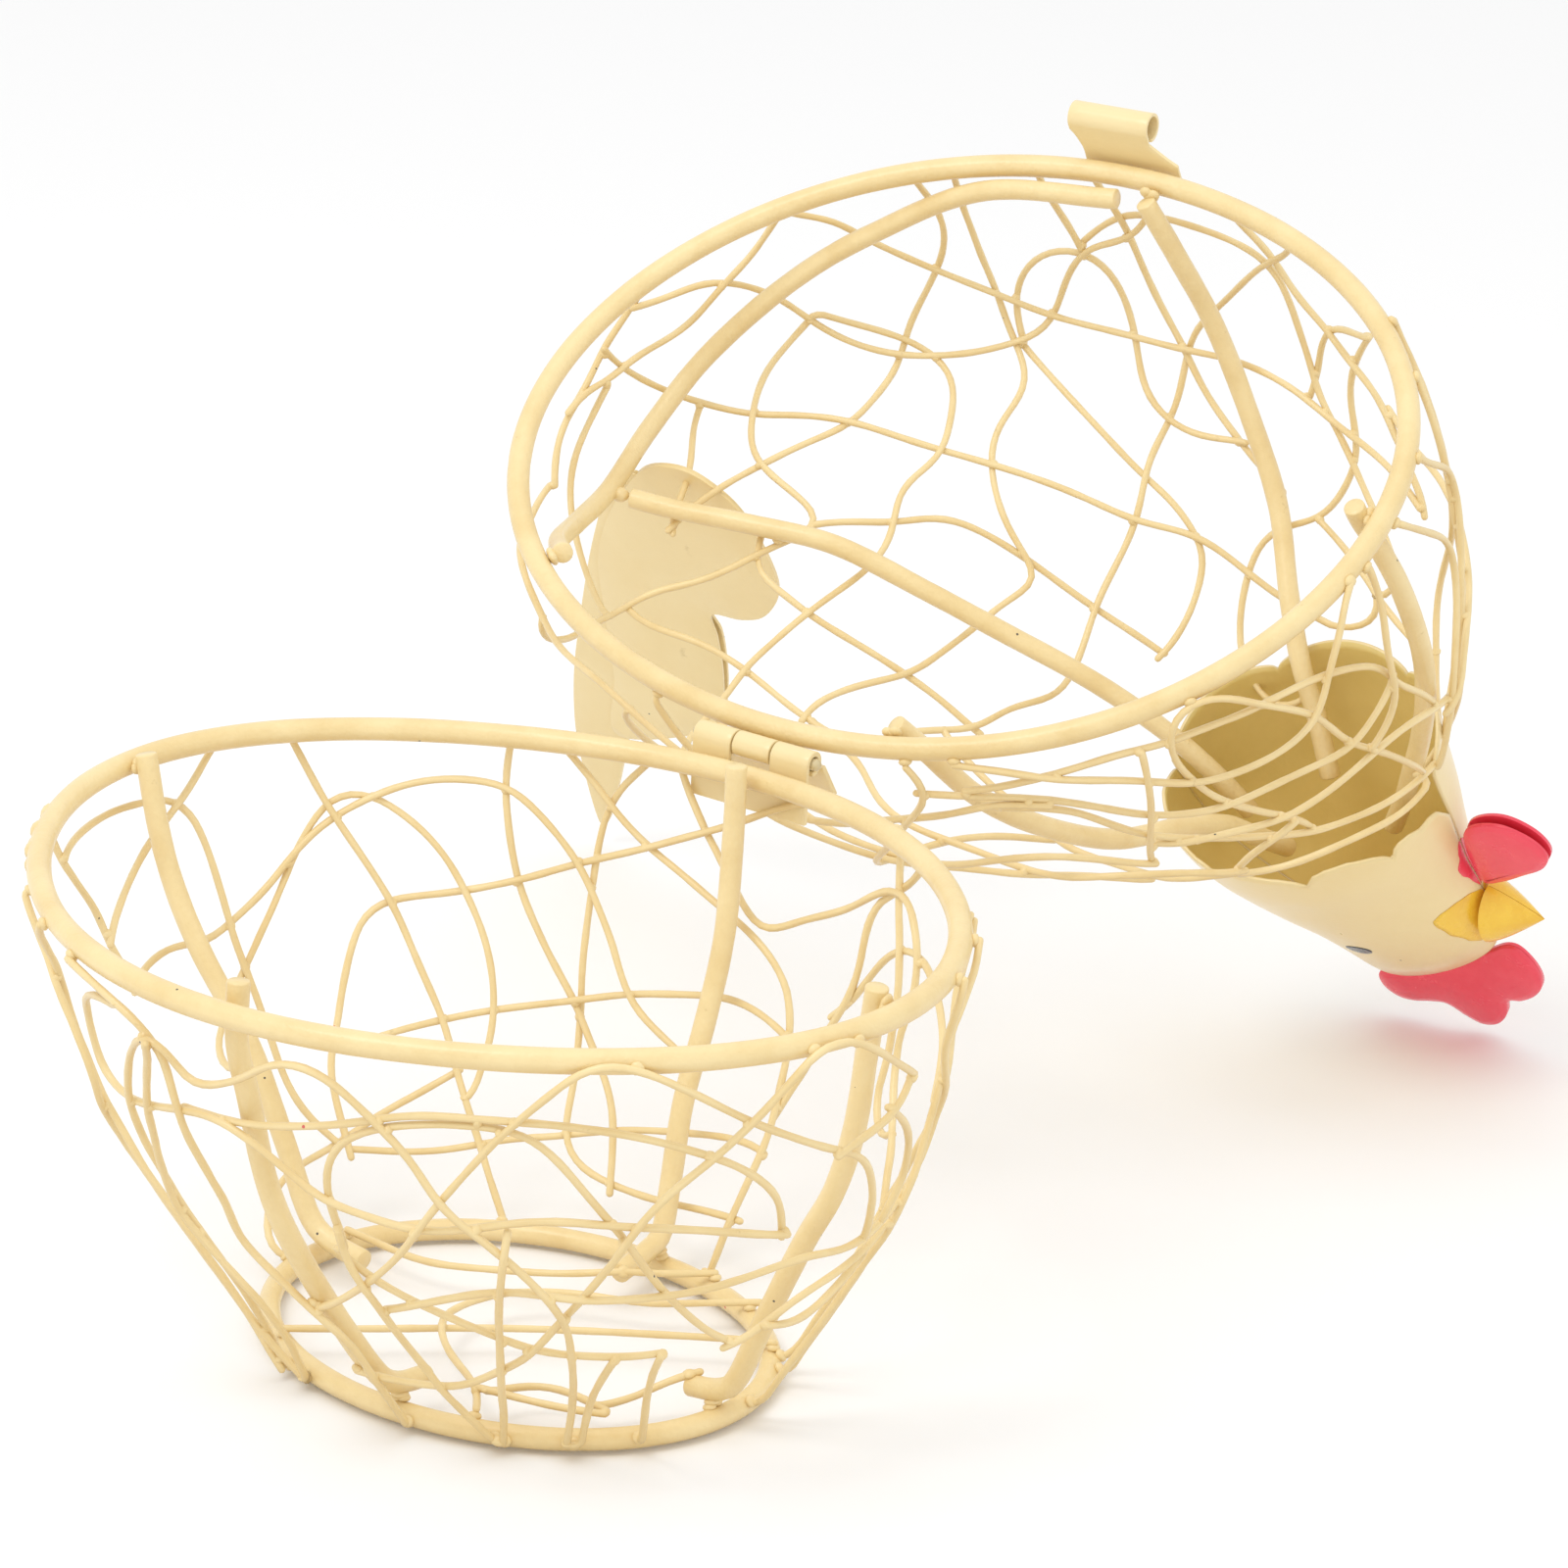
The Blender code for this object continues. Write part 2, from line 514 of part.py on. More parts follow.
LID_WIRES = {
    "lid_wire_01": [(225, 0.04), (223, 0.09), (219.7, 0.185), (214.7, 0.24),
        (211.8, 0.26), (207.5, 0.31), (200.8, 0.31), (195.5, 0.29), (191.5, 0.31),
        (187, 0.26), (181.5, 0.27), (176, 0.26)],
    "lid_wire_02": [(223, 0.02), (225, 0.09), (231.5, 0.17), (234, 0.25),
        (238.5, 0.32), (242.5, 0.37), (246.5, 0.41), (250.5, 0.445), (256.5, 0.49),
        (266, 0.515), (272.5, 0.525), (278.5, 0.52), (283.5, 0.52), (290.8, 0.54),
        (294, 0.56), (297.5, 0.575), (307.5, 0.59), (315, 0.62)],
    "lid_wire_03": [(223.8, 0.43), (219.2, 0.465), (213, 0.5), (205.5, 0.565),
        (199, 0.61), (194.5, 0.645), (191, 0.7), (187.5, 0.745), (178, 0.725),
        (172.5, 0.705), (168, 0.69), (165.3, 0.67), (162, 0.645), (161, 0.61),
        (158.5, 0.585), (154.5, 0.55), (151, 0.5), (146, 0.44)],
    "lid_wire_04": [(225.8, 0.425), (228.7, 0.46), (233.8, 0.51), (236, 0.55),
        (236, 0.595), (231.5, 0.66), (220.5, 0.735), (214, 0.75), (205, 0.76),
        (197, 0.785), (188, 0.795), (178.5, 0.79), (172.5, 0.78), (164.8, 0.765),
        (158, 0.745), (152, 0.725), (145.3, 0.69), (140, 0.665), (136, 0.64),
        (130, 0.58), (124, 0.52)],
    "lid_wire_05": [(191, 0.1), (193, 0.175), (192.8, 0.235), (194, 0.285),
        (195, 0.33), (198, 0.405), (199.5, 0.45), (202.5, 0.51), (205.3, 0.565),
        (212.7, 0.65), (216, 0.7), (220.5, 0.735), (224.5, 0.76), (235, 0.805),
        (242, 0.835), (252, 0.845), (255, 0.855), (259.5, 0.885), (263.5, 0.905),
        (268.5, 0.92), (276, 0.93)],
    "lid_wire_06": [(248.5, 0.1), (248.5, 0.25), (249.3, 0.39), (249.8, 0.44),
        (248.3, 0.54), (247, 0.605), (242.5, 0.66), (231.5, 0.72), (224, 0.77),
        (214.5, 0.83), (210, 0.87), (200, 0.87), (188, 0.87), (179, 0.865),
        (169.5, 0.855), (160.3, 0.84), (152.5, 0.81), (145, 0.775), (137.5, 0.735),
        (130, 0.7)],
    "lid_wire_07": [(249.5, 0.54), (250.8, 0.49), (252.3, 0.43), (255.3, 0.365),
        (258.8, 0.335), (261.7, 0.34), (264.8, 0.36), (266.7, 0.42), (266.7, 0.49),
        (264.8, 0.57), (262.5, 0.635), (262.5, 0.68), (265, 0.7), (269, 0.705),
        (274.5, 0.69), (279, 0.69)],
    "lid_wire_08": [(296, 0.08), (294.3, 0.165), (289, 0.25), (282.5, 0.375),
        (278.3, 0.44), (273.5, 0.51), (270.5, 0.585), (264.7, 0.675), (252.2, 0.775),
        (243.5, 0.83), (231.5, 0.87), (216, 0.9), (203, 0.92), (190, 0.93),
        (179.5, 0.93), (169, 0.91), (163, 0.9), (153, 0.885), (147, 0.86),
        (143.5, 0.84), (136, 0.8)],
    "lid_wire_09": [(262.5, 0.32), (265, 0.28), (267.8, 0.24), (272, 0.215),
        (275.5, 0.205), (278.5, 0.21), (281.7, 0.21), (286.3, 0.225), (290, 0.26),
        (292, 0.325), (293, 0.4), (294, 0.46), (293.6, 0.52), (294, 0.565),
        (296, 0.59), (297.7, 0.645), (300.5, 0.715), (304, 0.78)],
    "lid_wire_10": [(306, 0.3), (302.5, 0.39), (300, 0.49), (299.8, 0.56),
        (297.7, 0.645), (291.5, 0.735), (285.5, 0.785), (276.5, 0.81), (267, 0.845),
        (260.5, 0.88), (256, 0.9), (251.5, 0.92), (243, 0.955)],
    "lid_wire_11": [(38.5, 0.81), (35, 0.67), (34.8, 0.615), (36.3, 0.555), (38, 0.49),
        (40.3, 0.41), (42, 0.35), (42.8, 0.26), (43.5, 0.2), (43.5, 0.125),
        (42.5, 0.04), (40.3, 0), (37, 0), (35, 0.015), (30.5, 0.115), (28.8, 0.155),
        (24, 0.28), (21.5, 0.45), (19, 0.52), (15.3, 0.64), (10.5, 0.8)],
    "lid_wire_12": [(75, 0.13), (69.5, 0.14), (64, 0.16), (58.5, 0.205), (53.3, 0.29),
        (49.9, 0.345), (44, 0.385), (38.8, 0.4), (32, 0.415), (25.8, 0.435),
        (21.3, 0.455), (17, 0.42), (12, 0.39), (8, 0.33)],
    "lid_wire_13": [(130, 0.62), (120, 0.6), (110, 0.585), (100, 0.56), (90, 0.55),
        (80, 0.5), (72, 0.44), (64, 0.43), (57, 0.5), (52, 0.56), (47, 0.55)],
    "lid_wire_14": [(110, 0.05), (106, 0.2), (100, 0.35), (92, 0.5), (86, 0.62),
        (82, 0.75), (80, 0.88)],
    "lid_wire_15": [(345, 0.02), (341, 0.15), (337, 0.25), (341, 0.4), (347, 0.55),
        (350, 0.7), (346, 0.85), (342, 0.95)],
    "lid_wire_16": [(308, 0.46), (314, 0.5), (322, 0.48), (330, 0.5), (338, 0.56),
        (347, 0.55), (355, 0.62), (363, 0.68)],
}
TOP_SHARE = 0.90        # the mesh stops below the head's skirt
SHEET_CLEARANCE = 0.3   # extra room between the wires and a sheet
LATCH_CLEAR_HALF = 12.5     # half width kept clear at the latch tab's root


def closed_ring(point_at, count):
    return ring_points(point_at, count) + [point_at(0)]


def rib_solids(ribs):
    return [(even(spline(control), 2.0), RIB_R) for control in ribs.values()]


def leaf_solids(sign):
    """Rods that stand for a hinge leaf, for the wires to pass outside it."""
    return [([tuple(hinge_point(x, -BEND_R, sign * z)) for x in (-HINGE_HALF, HINGE_HALF)],
             LEAF_T / 2 + SHEET_CLEARANCE) for z in range(4, 14, 2)]


def latch_solids():
    """Rods that stand for the latch tab's root."""
    return [([(LATCH_X + side * LATCH_CLEAR_HALF, LATCH_Y - 0.1, z) for side in (-1, 1)],
             SHEET / 2 + SHEET_CLEARANCE) for z in (104.0, 106.0, 108.0)]


def mesh_wires():
    bowl_solids = [(closed_ring(bowl_rim_point, 180), RIM_R),
                   (closed_ring(base_point, 120), RIM_R)]
    bowl_solids += rib_solids(BOWL_RIBS) + leaf_solids(-1)
    lid_solids = [(closed_ring(lid_rim_point, 180), RIM_R)]
    lid_solids += rib_solids(LID_RIBS) + leaf_solids(1) + latch_solids()
    bowl_wires = {name: (bowl_skin, control) for name, control in BOWL_WIRES.items()}
    bowl_wires.update({name: (floor_skin, control)
                       for name, control in FLOOR_WIRES.items()})
    lid_wires = {name: (lid_skin, [(a, min(share, TOP_SHARE)) for a, share in control])
                 for name, control in LID_WIRES.items()}
    for body, wires, solids in (("bowl", bowl_wires, bowl_solids),
                                ("lid", lid_wires, lid_solids)):
        for name, points in drape(wires, solids).items():
            rod(name, points, WIRE_R, body, resolution=0)


mesh_wires()

# ---------------------------------------------------------------------- hinge
TONGUE_HALF = 4.6       # half width of the lid leaf's middle tongue
WINDOW_HALF = 5.05      # half width of the bowl leaf's window round it
LEAF_ROWS = (LEAF_HEIGHT, 8.0, 3.6, 1.4)    # heights of the flat plate's rows
WINDOW_ROW = 2          # windows are cut from this row to the tongues' ends
WRAP_STEPS, WRAP_STEP = 14, 20.0            # tongue round the pin, in degrees


def hinge_leaf(name, sign, split, windows, body):
    """A plate beside the pin and tongues that wrap round it.  sign is -1 for a
    plate hanging below the pin, +1 for one standing above.  windows lists the
    columns cut away near the pin, where the other leaf's tongues turn."""
    path = [(-BEND_R, sign * z) for z in LEAF_ROWS]
    for k in range(WRAP_STEPS + 1):
        a = math.pi + sign * math.radians(WRAP_STEP * k)
        path.append((BEND_R * math.cos(a), BEND_R * math.sin(a)))
    columns = (-HINGE_HALF, -split, split, HINGE_HALF)
    rows = [[hinge_point(x, y, z) for x in columns] for y, z in path]
    sheet(name, rows, body, thickness=LEAF_T,
          is_cut=lambda i, j: i >= WINDOW_ROW and j in windows)


hinge_leaf("hinge_leaf_bowl", -1, WINDOW_HALF, (1,), "bowl")
hinge_leaf("hinge_leaf_lid", 1, TONGUE_HALF, (0, 2), "lid")
rod("hinge_pin", [hinge_point(side * (HINGE_HALF + PIN_END), 0, 0) for side in (-1, 1)],
    PIN_R, "bowl", resolution=4)

# ------------------------------------------------------------------ latch tab
# The flat strip's rows: middle x, half width, y, z
LATCH_STRIP = [(LATCH_X, 11.5, LATCH_Y, 108.0),
               (LATCH_X - 0.5, 11.5, LATCH_Y - 0.1, 102.5),
               (4.0, 10.4, LATCH_Y - 0.5, 98.5)]
ROLL_R = 2.9
ROLL_HALF = 9.75        # half length of the rolled end
ROLL_X, ROLL_Y, ROLL_Z = 1.7, LATCH_Y - 0.6 - ROLL_R, 95.0
ROLL_STEPS, ROLL_STEP = 16, 19.0    # turn of the roll, in degrees


def latch_tab():
    """One strip of sheet: welded outside the lid rim, it hangs past the bowl
    rim and its end is rolled into a tube."""
    stations = list(LATCH_STRIP)
    for k in range(ROLL_STEPS + 1):
        a = -math.radians(k * ROLL_STEP)
        stations.append((ROLL_X, ROLL_HALF,
                         ROLL_Y + ROLL_R * math.cos(a), ROLL_Z + ROLL_R * math.sin(a)))
    rows = [[(middle + side * half, y, z) for side in (-1, 1)]
            for middle, half, y, z in stations]
    sheet("latch_tab", rows, "lid")


latch_tab()

# ----------------------------------------------------------- head: two shells
# Sections across the head from the skirt up to the crown: back x and z, front
# x and z, half width, and how far the section's middle rises
HEAD = [(30, 206, 98, 189, 30.0, -4.0),
        (31, 211, 98.5, 195, 29.0, -1.0),
        (34, 221, 99.5, 204, 26.0, 0.0),
        (39, 231, 100, 212, 22.0, 0.5),
        (47, 240, 100.5, 219, 18.5, 1.0),
        (55, 247, 102, 226, 15.5, 1.5),
        (61, 254.5, 103, 233, 12.5, 2.0),
        (65.5, 262, 103.5, 240, 9.0, 3.0),
        (68, 267, 103, 245, 5.5, 4.0),
        (69.5, 269, 102.7, 248, 3.0, 5.0)]
# The left shell's scalloped lower edge: share of the way from the front seam to
# the back seam, and how far up the sections it stands
LEFT_EDGE = [(0.0, 0.205), (0.035, 0.152), (0.1, 0.145), (0.165, 0.133), (0.196, 0.170),
             (0.235, 0.128), (0.3, 0.104), (0.36, 0.112), (0.4, 0.155), (0.44, 0.120),
             (0.5, 0.105), (0.57, 0.100), (0.62, 0.135), (0.66, 0.095), (0.74, 0.072),
             (0.83, 0.100), (0.91, 0.062), (1.0, 0.065)]
RIGHT_COLUMNS = 12
RIGHT_LOBES, LOBE_DEPTH, LOBE_POWER = 3, 5.0, 0.7   # rounded lobes of its lower edge
HEAD_SEAM = 0.35        # each shell's edge from the middle plane


def head_point(section, share, side):
    """The point of a section at a share of the way from front to back seam."""
    back_x, back_z, front_x, front_z, half_width, rise = section
    a = math.pi * share
    c, s = math.cos(a), math.sin(a)
    return ((back_x + front_x) / 2 + (front_x - back_x) / 2 * c,
            side * (HEAD_SEAM + half_width * s),
            (back_z + front_z) / 2 + (front_z - back_z) / 2 * c + rise * s)


def head_section(height):
    """The section at a share of the way up the head."""
    position = height * (len(HEAD) - 1)
    i = min(len(HEAD) - 2, int(position))
    return [low + (high - low) * (position - i) for low, high in zip(HEAD[i], HEAD[i + 1])]


def head_shell_left():
    last = len(HEAD) - 1
    rows = [[head_point(head_section(low + (1 - low) * i / last), share, 1)
             for share, low in LEFT_EDGE] for i in range(len(HEAD))]
    sheet("head_shell_left", rows, "lid", offset=-1.0, even_offset=False)


def head_shell_right():
    shares = [j / RIGHT_COLUMNS for j in range(RIGHT_COLUMNS + 1)]
    rows = [[head_point(section, share, -1) for share in shares] for section in HEAD]
    for j, share in enumerate(shares):
        x, y, z = rows[0][j]
        lobe = abs(math.sin(RIGHT_LOBES * math.pi * share)) ** LOBE_POWER
        rows[0][j] = (x, y, z - LOBE_DEPTH * lobe)
    sheet("head_shell_right", rows, "lid", offset=-1.0, even_offset=False, flip=True)


head_shell_left()
head_shell_right()

# ---------------------------------------------------- comb, wattles and beak
COMB_T = 1.0            # thickness of the comb's and wattles' plates
COMB_Y = 0.75           # each comb plate's middle from the middle plane
WATTLE_Y, WATTLE_TOP, WATTLE_SPLAY = 0.85, 226, 0.035   # middle y at the top, top z, slope
# Outlines (x, z)
COMB = [(69.5, 272), (69, 277), (72, 280.5), (76, 281), (81, 279.5), (85, 279),
        (89, 282), (93, 284), (97, 282.5), (100, 278), (101.5, 272), (105, 270.5),
        (109, 267), (111.5, 262), (111, 256), (108, 250.5), (104.5, 250),
        (99.2, 254.2), (92, 260.8), (84, 266), (76.6, 269.8)]
WATTLE = [(104, 225.3), (108.8, 223.2), (114.5, 218.8), (120, 214.2), (122, 209),
          (119.2, 203.9), (113, 201), (107, 202.3), (102.8, 206.2), (101.9, 212.5),
          (102.4, 219.5)]
BEAK_TIP_X, BEAK_TIP_Y, BEAK_TIP_Z = 116.5, 0.35, 236.0
BEAK_BASE_X, BEAK_BASE_Y, BEAK_BASE_Z = 104.3, 0.2, 236.5
BEAK_HALF_WIDTH, BEAK_HALF_HEIGHT = 7.0, 9.0
BEAK_BULGE = 1.0        # how far the base bows back at the side
BEAK_STEPS = 8


def beak(name, side):
    """Half of the beak: a half cone with its flat side at the seam."""
    build = bmesh.new()
    tip = build.verts.new(place((BEAK_TIP_X, side * BEAK_TIP_Y, BEAK_TIP_Z)))
    arc = []
    for k in range(BEAK_STEPS + 1):
        a = math.pi * k / BEAK_STEPS
        arc.append(build.verts.new(place((
            BEAK_BASE_X - BEAK_BULGE * math.sin(a),
            side * (BEAK_BASE_Y + BEAK_HALF_WIDTH * math.sin(a)),
            BEAK_BASE_Z + BEAK_HALF_HEIGHT * math.cos(a)))))
    for upper, lower in zip(arc[:-1], arc[1:]):
        build.faces.new((tip, upper, lower))
    build.faces.new(arc[::-1])
    build.faces.new((tip, arc[-1], arc[0]))
    bmesh.ops.recalc_face_normals(build, faces=build.faces)
    finish(mesh_object(name, build), "lid", YELLOW, smooth=False)


for side, tag in ((1, "left"), (-1, "right")):
    plate("comb_" + tag, COMB, COMB_T, lambda z: side * COMB_Y, RED)
    plate("wattle_" + tag, WATTLE, COMB_T,
          lambda z: side * (WATTLE_Y + (WATTLE_TOP - z) * WATTLE_SPLAY), RED)
    beak("beak_" + tag, side)

# --------------------------------------------------------------- tail sheets
# Two tall leaf-shaped sheets with a pair of stepped fans outside them.
# Outlines (x, z)
TAIL_FAN = [(-97, 153), (-86, 151), (-78, 151.5), (-72, 155), (-68, 163), (-66, 176),
            (-68, 183), (-73, 188), (-87, 191), (-89, 203), (-94, 226), (-97, 234),
            (-126, 244), (-120, 216), (-117.5, 197), (-115, 181), (-108, 167)]
TAIL_LEAF = [(-99, 150), (-108, 160), (-113, 170), (-119, 184), (-127, 205), (-134, 225),
             (-139, 245), (-141, 262), (-141.5, 280), (-138.5, 279), (-133, 267),
             (-126, 250), (-119, 232), (-112, 205), (-105, 175), (-96, 155)]
TAIL_Y, TAIL_FOOT_Z, TAIL_LEAN = -8.0, 150.0, 0.1   # middle y at the foot, foot z, slope
TAIL_PITCH = 1.2        # between the middles of neighbouring sheets

for name, outline, places in (("tail_fan_left", TAIL_FAN, 1.5),
                              ("tail_leaf_left", TAIL_LEAF, 0.5),
                              ("tail_leaf_right", TAIL_LEAF, -0.5),
                              ("tail_fan_right", TAIL_FAN, -1.5)):
    plate(name, outline, SHEET,
          lambda z: TAIL_Y + (z - TAIL_FOOT_Z) * TAIL_LEAN + places * TAIL_PITCH)
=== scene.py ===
"""Hen-shaped wire egg basket: a wire bowl with a hinged wire lid turned back open.

Shapes are drawn in design millimetres with the lid closed: the middle of the bowl at x = y = 0,
the base ring's centre line at z = 0, the head towards +x, the hinge at +y and the latch at -y.
place() takes them to metres in the frame, where the lid is open.
"""
import bpy
import bmesh
import math
import numpy as np
from mathutils import Vector, Matrix, Quaternion
from mathutils.kdtree import KDTree


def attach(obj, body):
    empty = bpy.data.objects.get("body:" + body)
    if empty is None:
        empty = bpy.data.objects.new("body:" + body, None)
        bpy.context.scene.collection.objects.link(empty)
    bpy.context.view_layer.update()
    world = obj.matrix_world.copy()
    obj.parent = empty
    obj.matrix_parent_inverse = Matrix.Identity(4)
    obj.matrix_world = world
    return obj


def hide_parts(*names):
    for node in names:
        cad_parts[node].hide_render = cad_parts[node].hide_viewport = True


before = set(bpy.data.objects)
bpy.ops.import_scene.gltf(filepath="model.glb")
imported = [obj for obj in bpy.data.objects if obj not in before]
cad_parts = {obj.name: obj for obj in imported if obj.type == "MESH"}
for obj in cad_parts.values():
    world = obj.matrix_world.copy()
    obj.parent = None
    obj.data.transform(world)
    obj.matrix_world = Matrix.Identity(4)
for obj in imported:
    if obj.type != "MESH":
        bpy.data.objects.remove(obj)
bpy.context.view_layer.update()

# ------------------------------------------------------ dimensions, design millimetres
MM = 0.001
RIM_A, RIM_B = 100.0, 81.4          # half length and half width of the rims, to the rod's centre
BOWL_H = 99.1                       # bowl rim's centre above the base ring's centre
LID_Z = 105.0                       # lid rim's centre when closed
BASE_A, BASE_B = 56.2, 43.5         # half length and half width of the base ring
BASE_CX, BASE_CY = 1.9, 5.4         # middle of the base ring
RIM_R = 2.5                         # rim rods
BASE_R = RIM_R * 0.92               # base ring rod
RIB_R = 2.3                         # rib rods
WIRE_R = 0.8                        # mesh wires
FLOOR_MESH_Z = 3.75                 # bottom wires, just over the base ring
SHEET = 0.8                         # sheet metal thickness
SHIFT = (31.1, -95.14, 2.31)        # from the design's origin to the frame's origin

HINGE = Vector((-4.1, 88.1, 102.6))     # middle of the hinge pin
HINGE_YAW, HINGE_PITCH = math.radians(4.3), math.radians(-1.7)
HINGE_AXIS = Vector((math.cos(HINGE_YAW) * math.cos(HINGE_PITCH),
                     math.sin(HINGE_YAW) * math.cos(HINGE_PITCH),
                     math.sin(HINGE_PITCH)))
OPEN_ANGLE = math.radians(146.2)        # how far the lid is turned back at rest
KNUCKLE_R, PIN_R = 2.8, 1.3             # outside of the knuckles; the pin
LEAF_T = 1.2                            # hinge sheet
BEND_R = KNUCKLE_R - LEAF_T / 2         # middle of the sheet round the pin
HINGE_HALF = 29.0 / 2                   # half length of the hinge
LEAF_DROP = 13.0                        # how far a leaf reaches from the pin

LATCH_X, LATCH_Y = 6.0, -85.2           # middle and plane of the latch tab's root

hinge_up = Vector((0, 0, 1)) - HINGE_AXIS * HINGE_AXIS.z
hinge_up.normalize()
HINGE_FRAME = Matrix((HINGE_AXIS, hinge_up.cross(HINGE_AXIS), hinge_up)).transposed()
PIVOT = np.array([h + s for h, s in zip(HINGE, SHIFT)])
TURN = np.array(Quaternion(HINGE_AXIS, -OPEN_ANGLE).to_matrix())


def place(points, body):
    """Design millimetres (lid closed) to metres in the frame at rest."""
    q = np.asarray(points, float) + SHIFT
    if body == "lid":
        q = PIVOT + (q - PIVOT) @ TURN.T
    return q * MM


def hinge_point(x, y, z):
    """A point given along, across and up from the middle of the pin."""
    return np.array(HINGE + HINGE_FRAME @ Vector((x, y, z)))


# ------------------------------------------------------------------------------- curves
def catmull_rom(around, u):
    """The point at share u between the middle two of four points."""
    p0, p1, p2, p3 = around
    return 0.5 * ((2 * p1) + (-p0 + p2) * u + (2 * p0 - 5 * p1 + 4 * p2 - p3) * u ** 2
                  + (-p0 + 3 * p1 - 3 * p2 + p3) * u ** 3)


def extended(rows):
    """The rows with one more at each end, carried straight on."""
    return np.vstack([2 * rows[0] - rows[1], rows, 2 * rows[-1] - rows[-2]])


def arc_length(points):
    return np.r_[0, np.cumsum(np.linalg.norm(np.diff(points, axis=0), axis=1))]


def even(points, step):
    """Resample a polyline at about the given spacing."""
    points = np.asarray(points, float)
    d = arc_length(points)
    count = max(2, int(round(d[-1] / step)) + 1)
    t = np.linspace(0, d[-1], count)
    return np.stack([np.interp(t, d, column) for column in points.T], 1)


def spline(control, step, closed=False):
    """Even points along a curve through the control points; all of them if step is None."""
    c = np.array(control, float)
    knots = np.vstack([c[-1:], c, c[:2]]) if closed else extended(c)
    curve = [catmull_rom(knots[i:i + 4], k / 12) for i in range(len(knots) - 3) for k in range(12)]
    curve.append(c[0] if closed else c[-1])
    curve = np.array(curve)
    return curve if step is None else even(curve, step)


def eased_row(rows, share):
    """The table row at a share (0 to 1) of the way through, and its row position."""
    last = len(rows) - 1
    position = share * last
    i = min(last - 1, int(position))
    return catmull_rom(extended(rows)[i:i + 4], position - i), position


def ring_points(ring, count):
    return [ring(2 * math.pi * i / count) for i in range(count)]


# ------------------------------------------------------------------------ rims and ribs
def bowl_oval(t, k=1.0):
    """Unit oval, hand-bent out of true by share k."""
    r = 1 + k * (0.0027 * math.cos(3 * t) + 0.0122 * math.cos(4 * t) - 0.0105 * math.sin(4 * t))
    return r * math.cos(t), r * math.sin(t)


def lid_oval(t, k=1.0):
    """Unit oval, hand-bent out of true by share k."""
    r = 1 + k * (-0.017 * math.sin(2 * t) - 0.010 * math.cos(3 * t) - 0.007 * math.sin(4 * t))
    return r * math.cos(t), r * math.sin(t)


def bowl_rim_point(t):
    x, y = bowl_oval(t)
    return (RIM_A * x, RIM_B * y, BOWL_H + 0.8 * math.cos(2 * t))


def lid_rim_point(t):
    x, y = lid_oval(t)
    return (RIM_A * x + 1.0, RIM_B * y, LID_Z + 0.8 * math.cos(2 * t) - 0.5 * math.sin(2 * t))


def base_point(t):
    return (BASE_CX + BASE_A * math.cos(t), BASE_CY + BASE_B * math.sin(t), 0.0)


# control points (x, y, z) of the rods
BOWL_RIBS = {
    "bowl_rib_tail": [(-95.6, 0, 103), (-92.5, 0, 88), (-89, 1, 75), (-82, 1.5, 62),
                      (-70, 2.5, 45), (-61, 3.5, 25), (-54.5, 4, 9.5), (-48, 4, 5.2),
                      (-39, 3.5, 4.0)],
    "bowl_rib_head": [(95.4, 0, 103), (93.5, 0, 90), (91, 0, 73), (86, 0.5, 58), (79, 0.5, 45),
                      (70, 0.5, 26), (62.5, 1, 10), (57.5, 1, 6.2), (51, 1, 5.0)],
    "bowl_rib_latch": [(1, -75.4, 102), (1, -76, 90), (2, -74, 78), (2.5, -70, 60), (4, -65, 46),
                       (5.5, -55, 28), (7, -44, 11), (7.5, -38, 6.3), (8, -30, 5.0)],
    "bowl_rib_hinge": [(0.5, 75.5, 103), (0.5, 75, 89), (1, 72, 67), (1, 66, 49), (2, 58, 34),
                       (3, 53, 18), (3.5, 49.5, 7.2), (4.5, 43, 5.2), (6, 33, 4.6)],
}
LID_RIBS = {
    "lid_rib_latch": [(14, -74.6, 104), (19, -73, 118), (25, -71, 138), (33, -63, 158),
                      (42, -51, 172), (50, -34, 182), (56, -22.5, 191), (60, -17, 201),
                      (64, -10, 213)],
    "lid_rib_hinge": [(22, 74.0, 104), (26, 73, 112), (33, 70, 130), (40, 62, 148), (47, 49, 167),
                      (53, 33, 181), (57, 23.5, 191), (60, 18, 201), (63, 12, 212)],
    "lid_hoop": [(6, -75.2, 105), (-26, -72.0, 106.5), (-52, -62, 116), (-70, -50, 124),
                 (-86, -33, 134), (-93.5, -14, 140), (-94.5, 5, 140), (-92, 21, 132),
                 (-85, 36, 119), (-73.4, 48.2, 105.6)],
    "lid_spine": [(-89.0, 5.2, 141.5), (-79, 4, 144), (-60, 2, 146.5), (-41, 0, 150.5),
                  (-20, 0, 161), (-4, 0, 170), (12, 0, 179), (23, 0, 187), (33, 0, 197),
                  (41, 0, 208), (47, 0, 219)],
    "lid_rib_head": [(94.2, -4, 103.5), (95.0, -4, 108), (98.5, -3, 116), (101.5, -2, 127),
                     (103, -1, 144), (101.5, 0, 160), (97, 0, 177), (92.5, 0, 190),
                     (89, 0, 200), (84, 0, 212)],
}

# ------------------------------------------------------- the surfaces the mesh lies over
# the bowl's skin: heights, with the half length and half width at each
BOWL_Z = [0, 10, 20, 30, 43, 57, 70, 84, 95, 104]
BOWL_AX = [59.8, 66, 72.5, 78.5, 86, 92, 95.8, 99, 103.2, 104.8]
BOWL_BY = [47.1, 51, 56, 61.5, 68, 73.5, 77, 79.8, 84.2, 85.6]
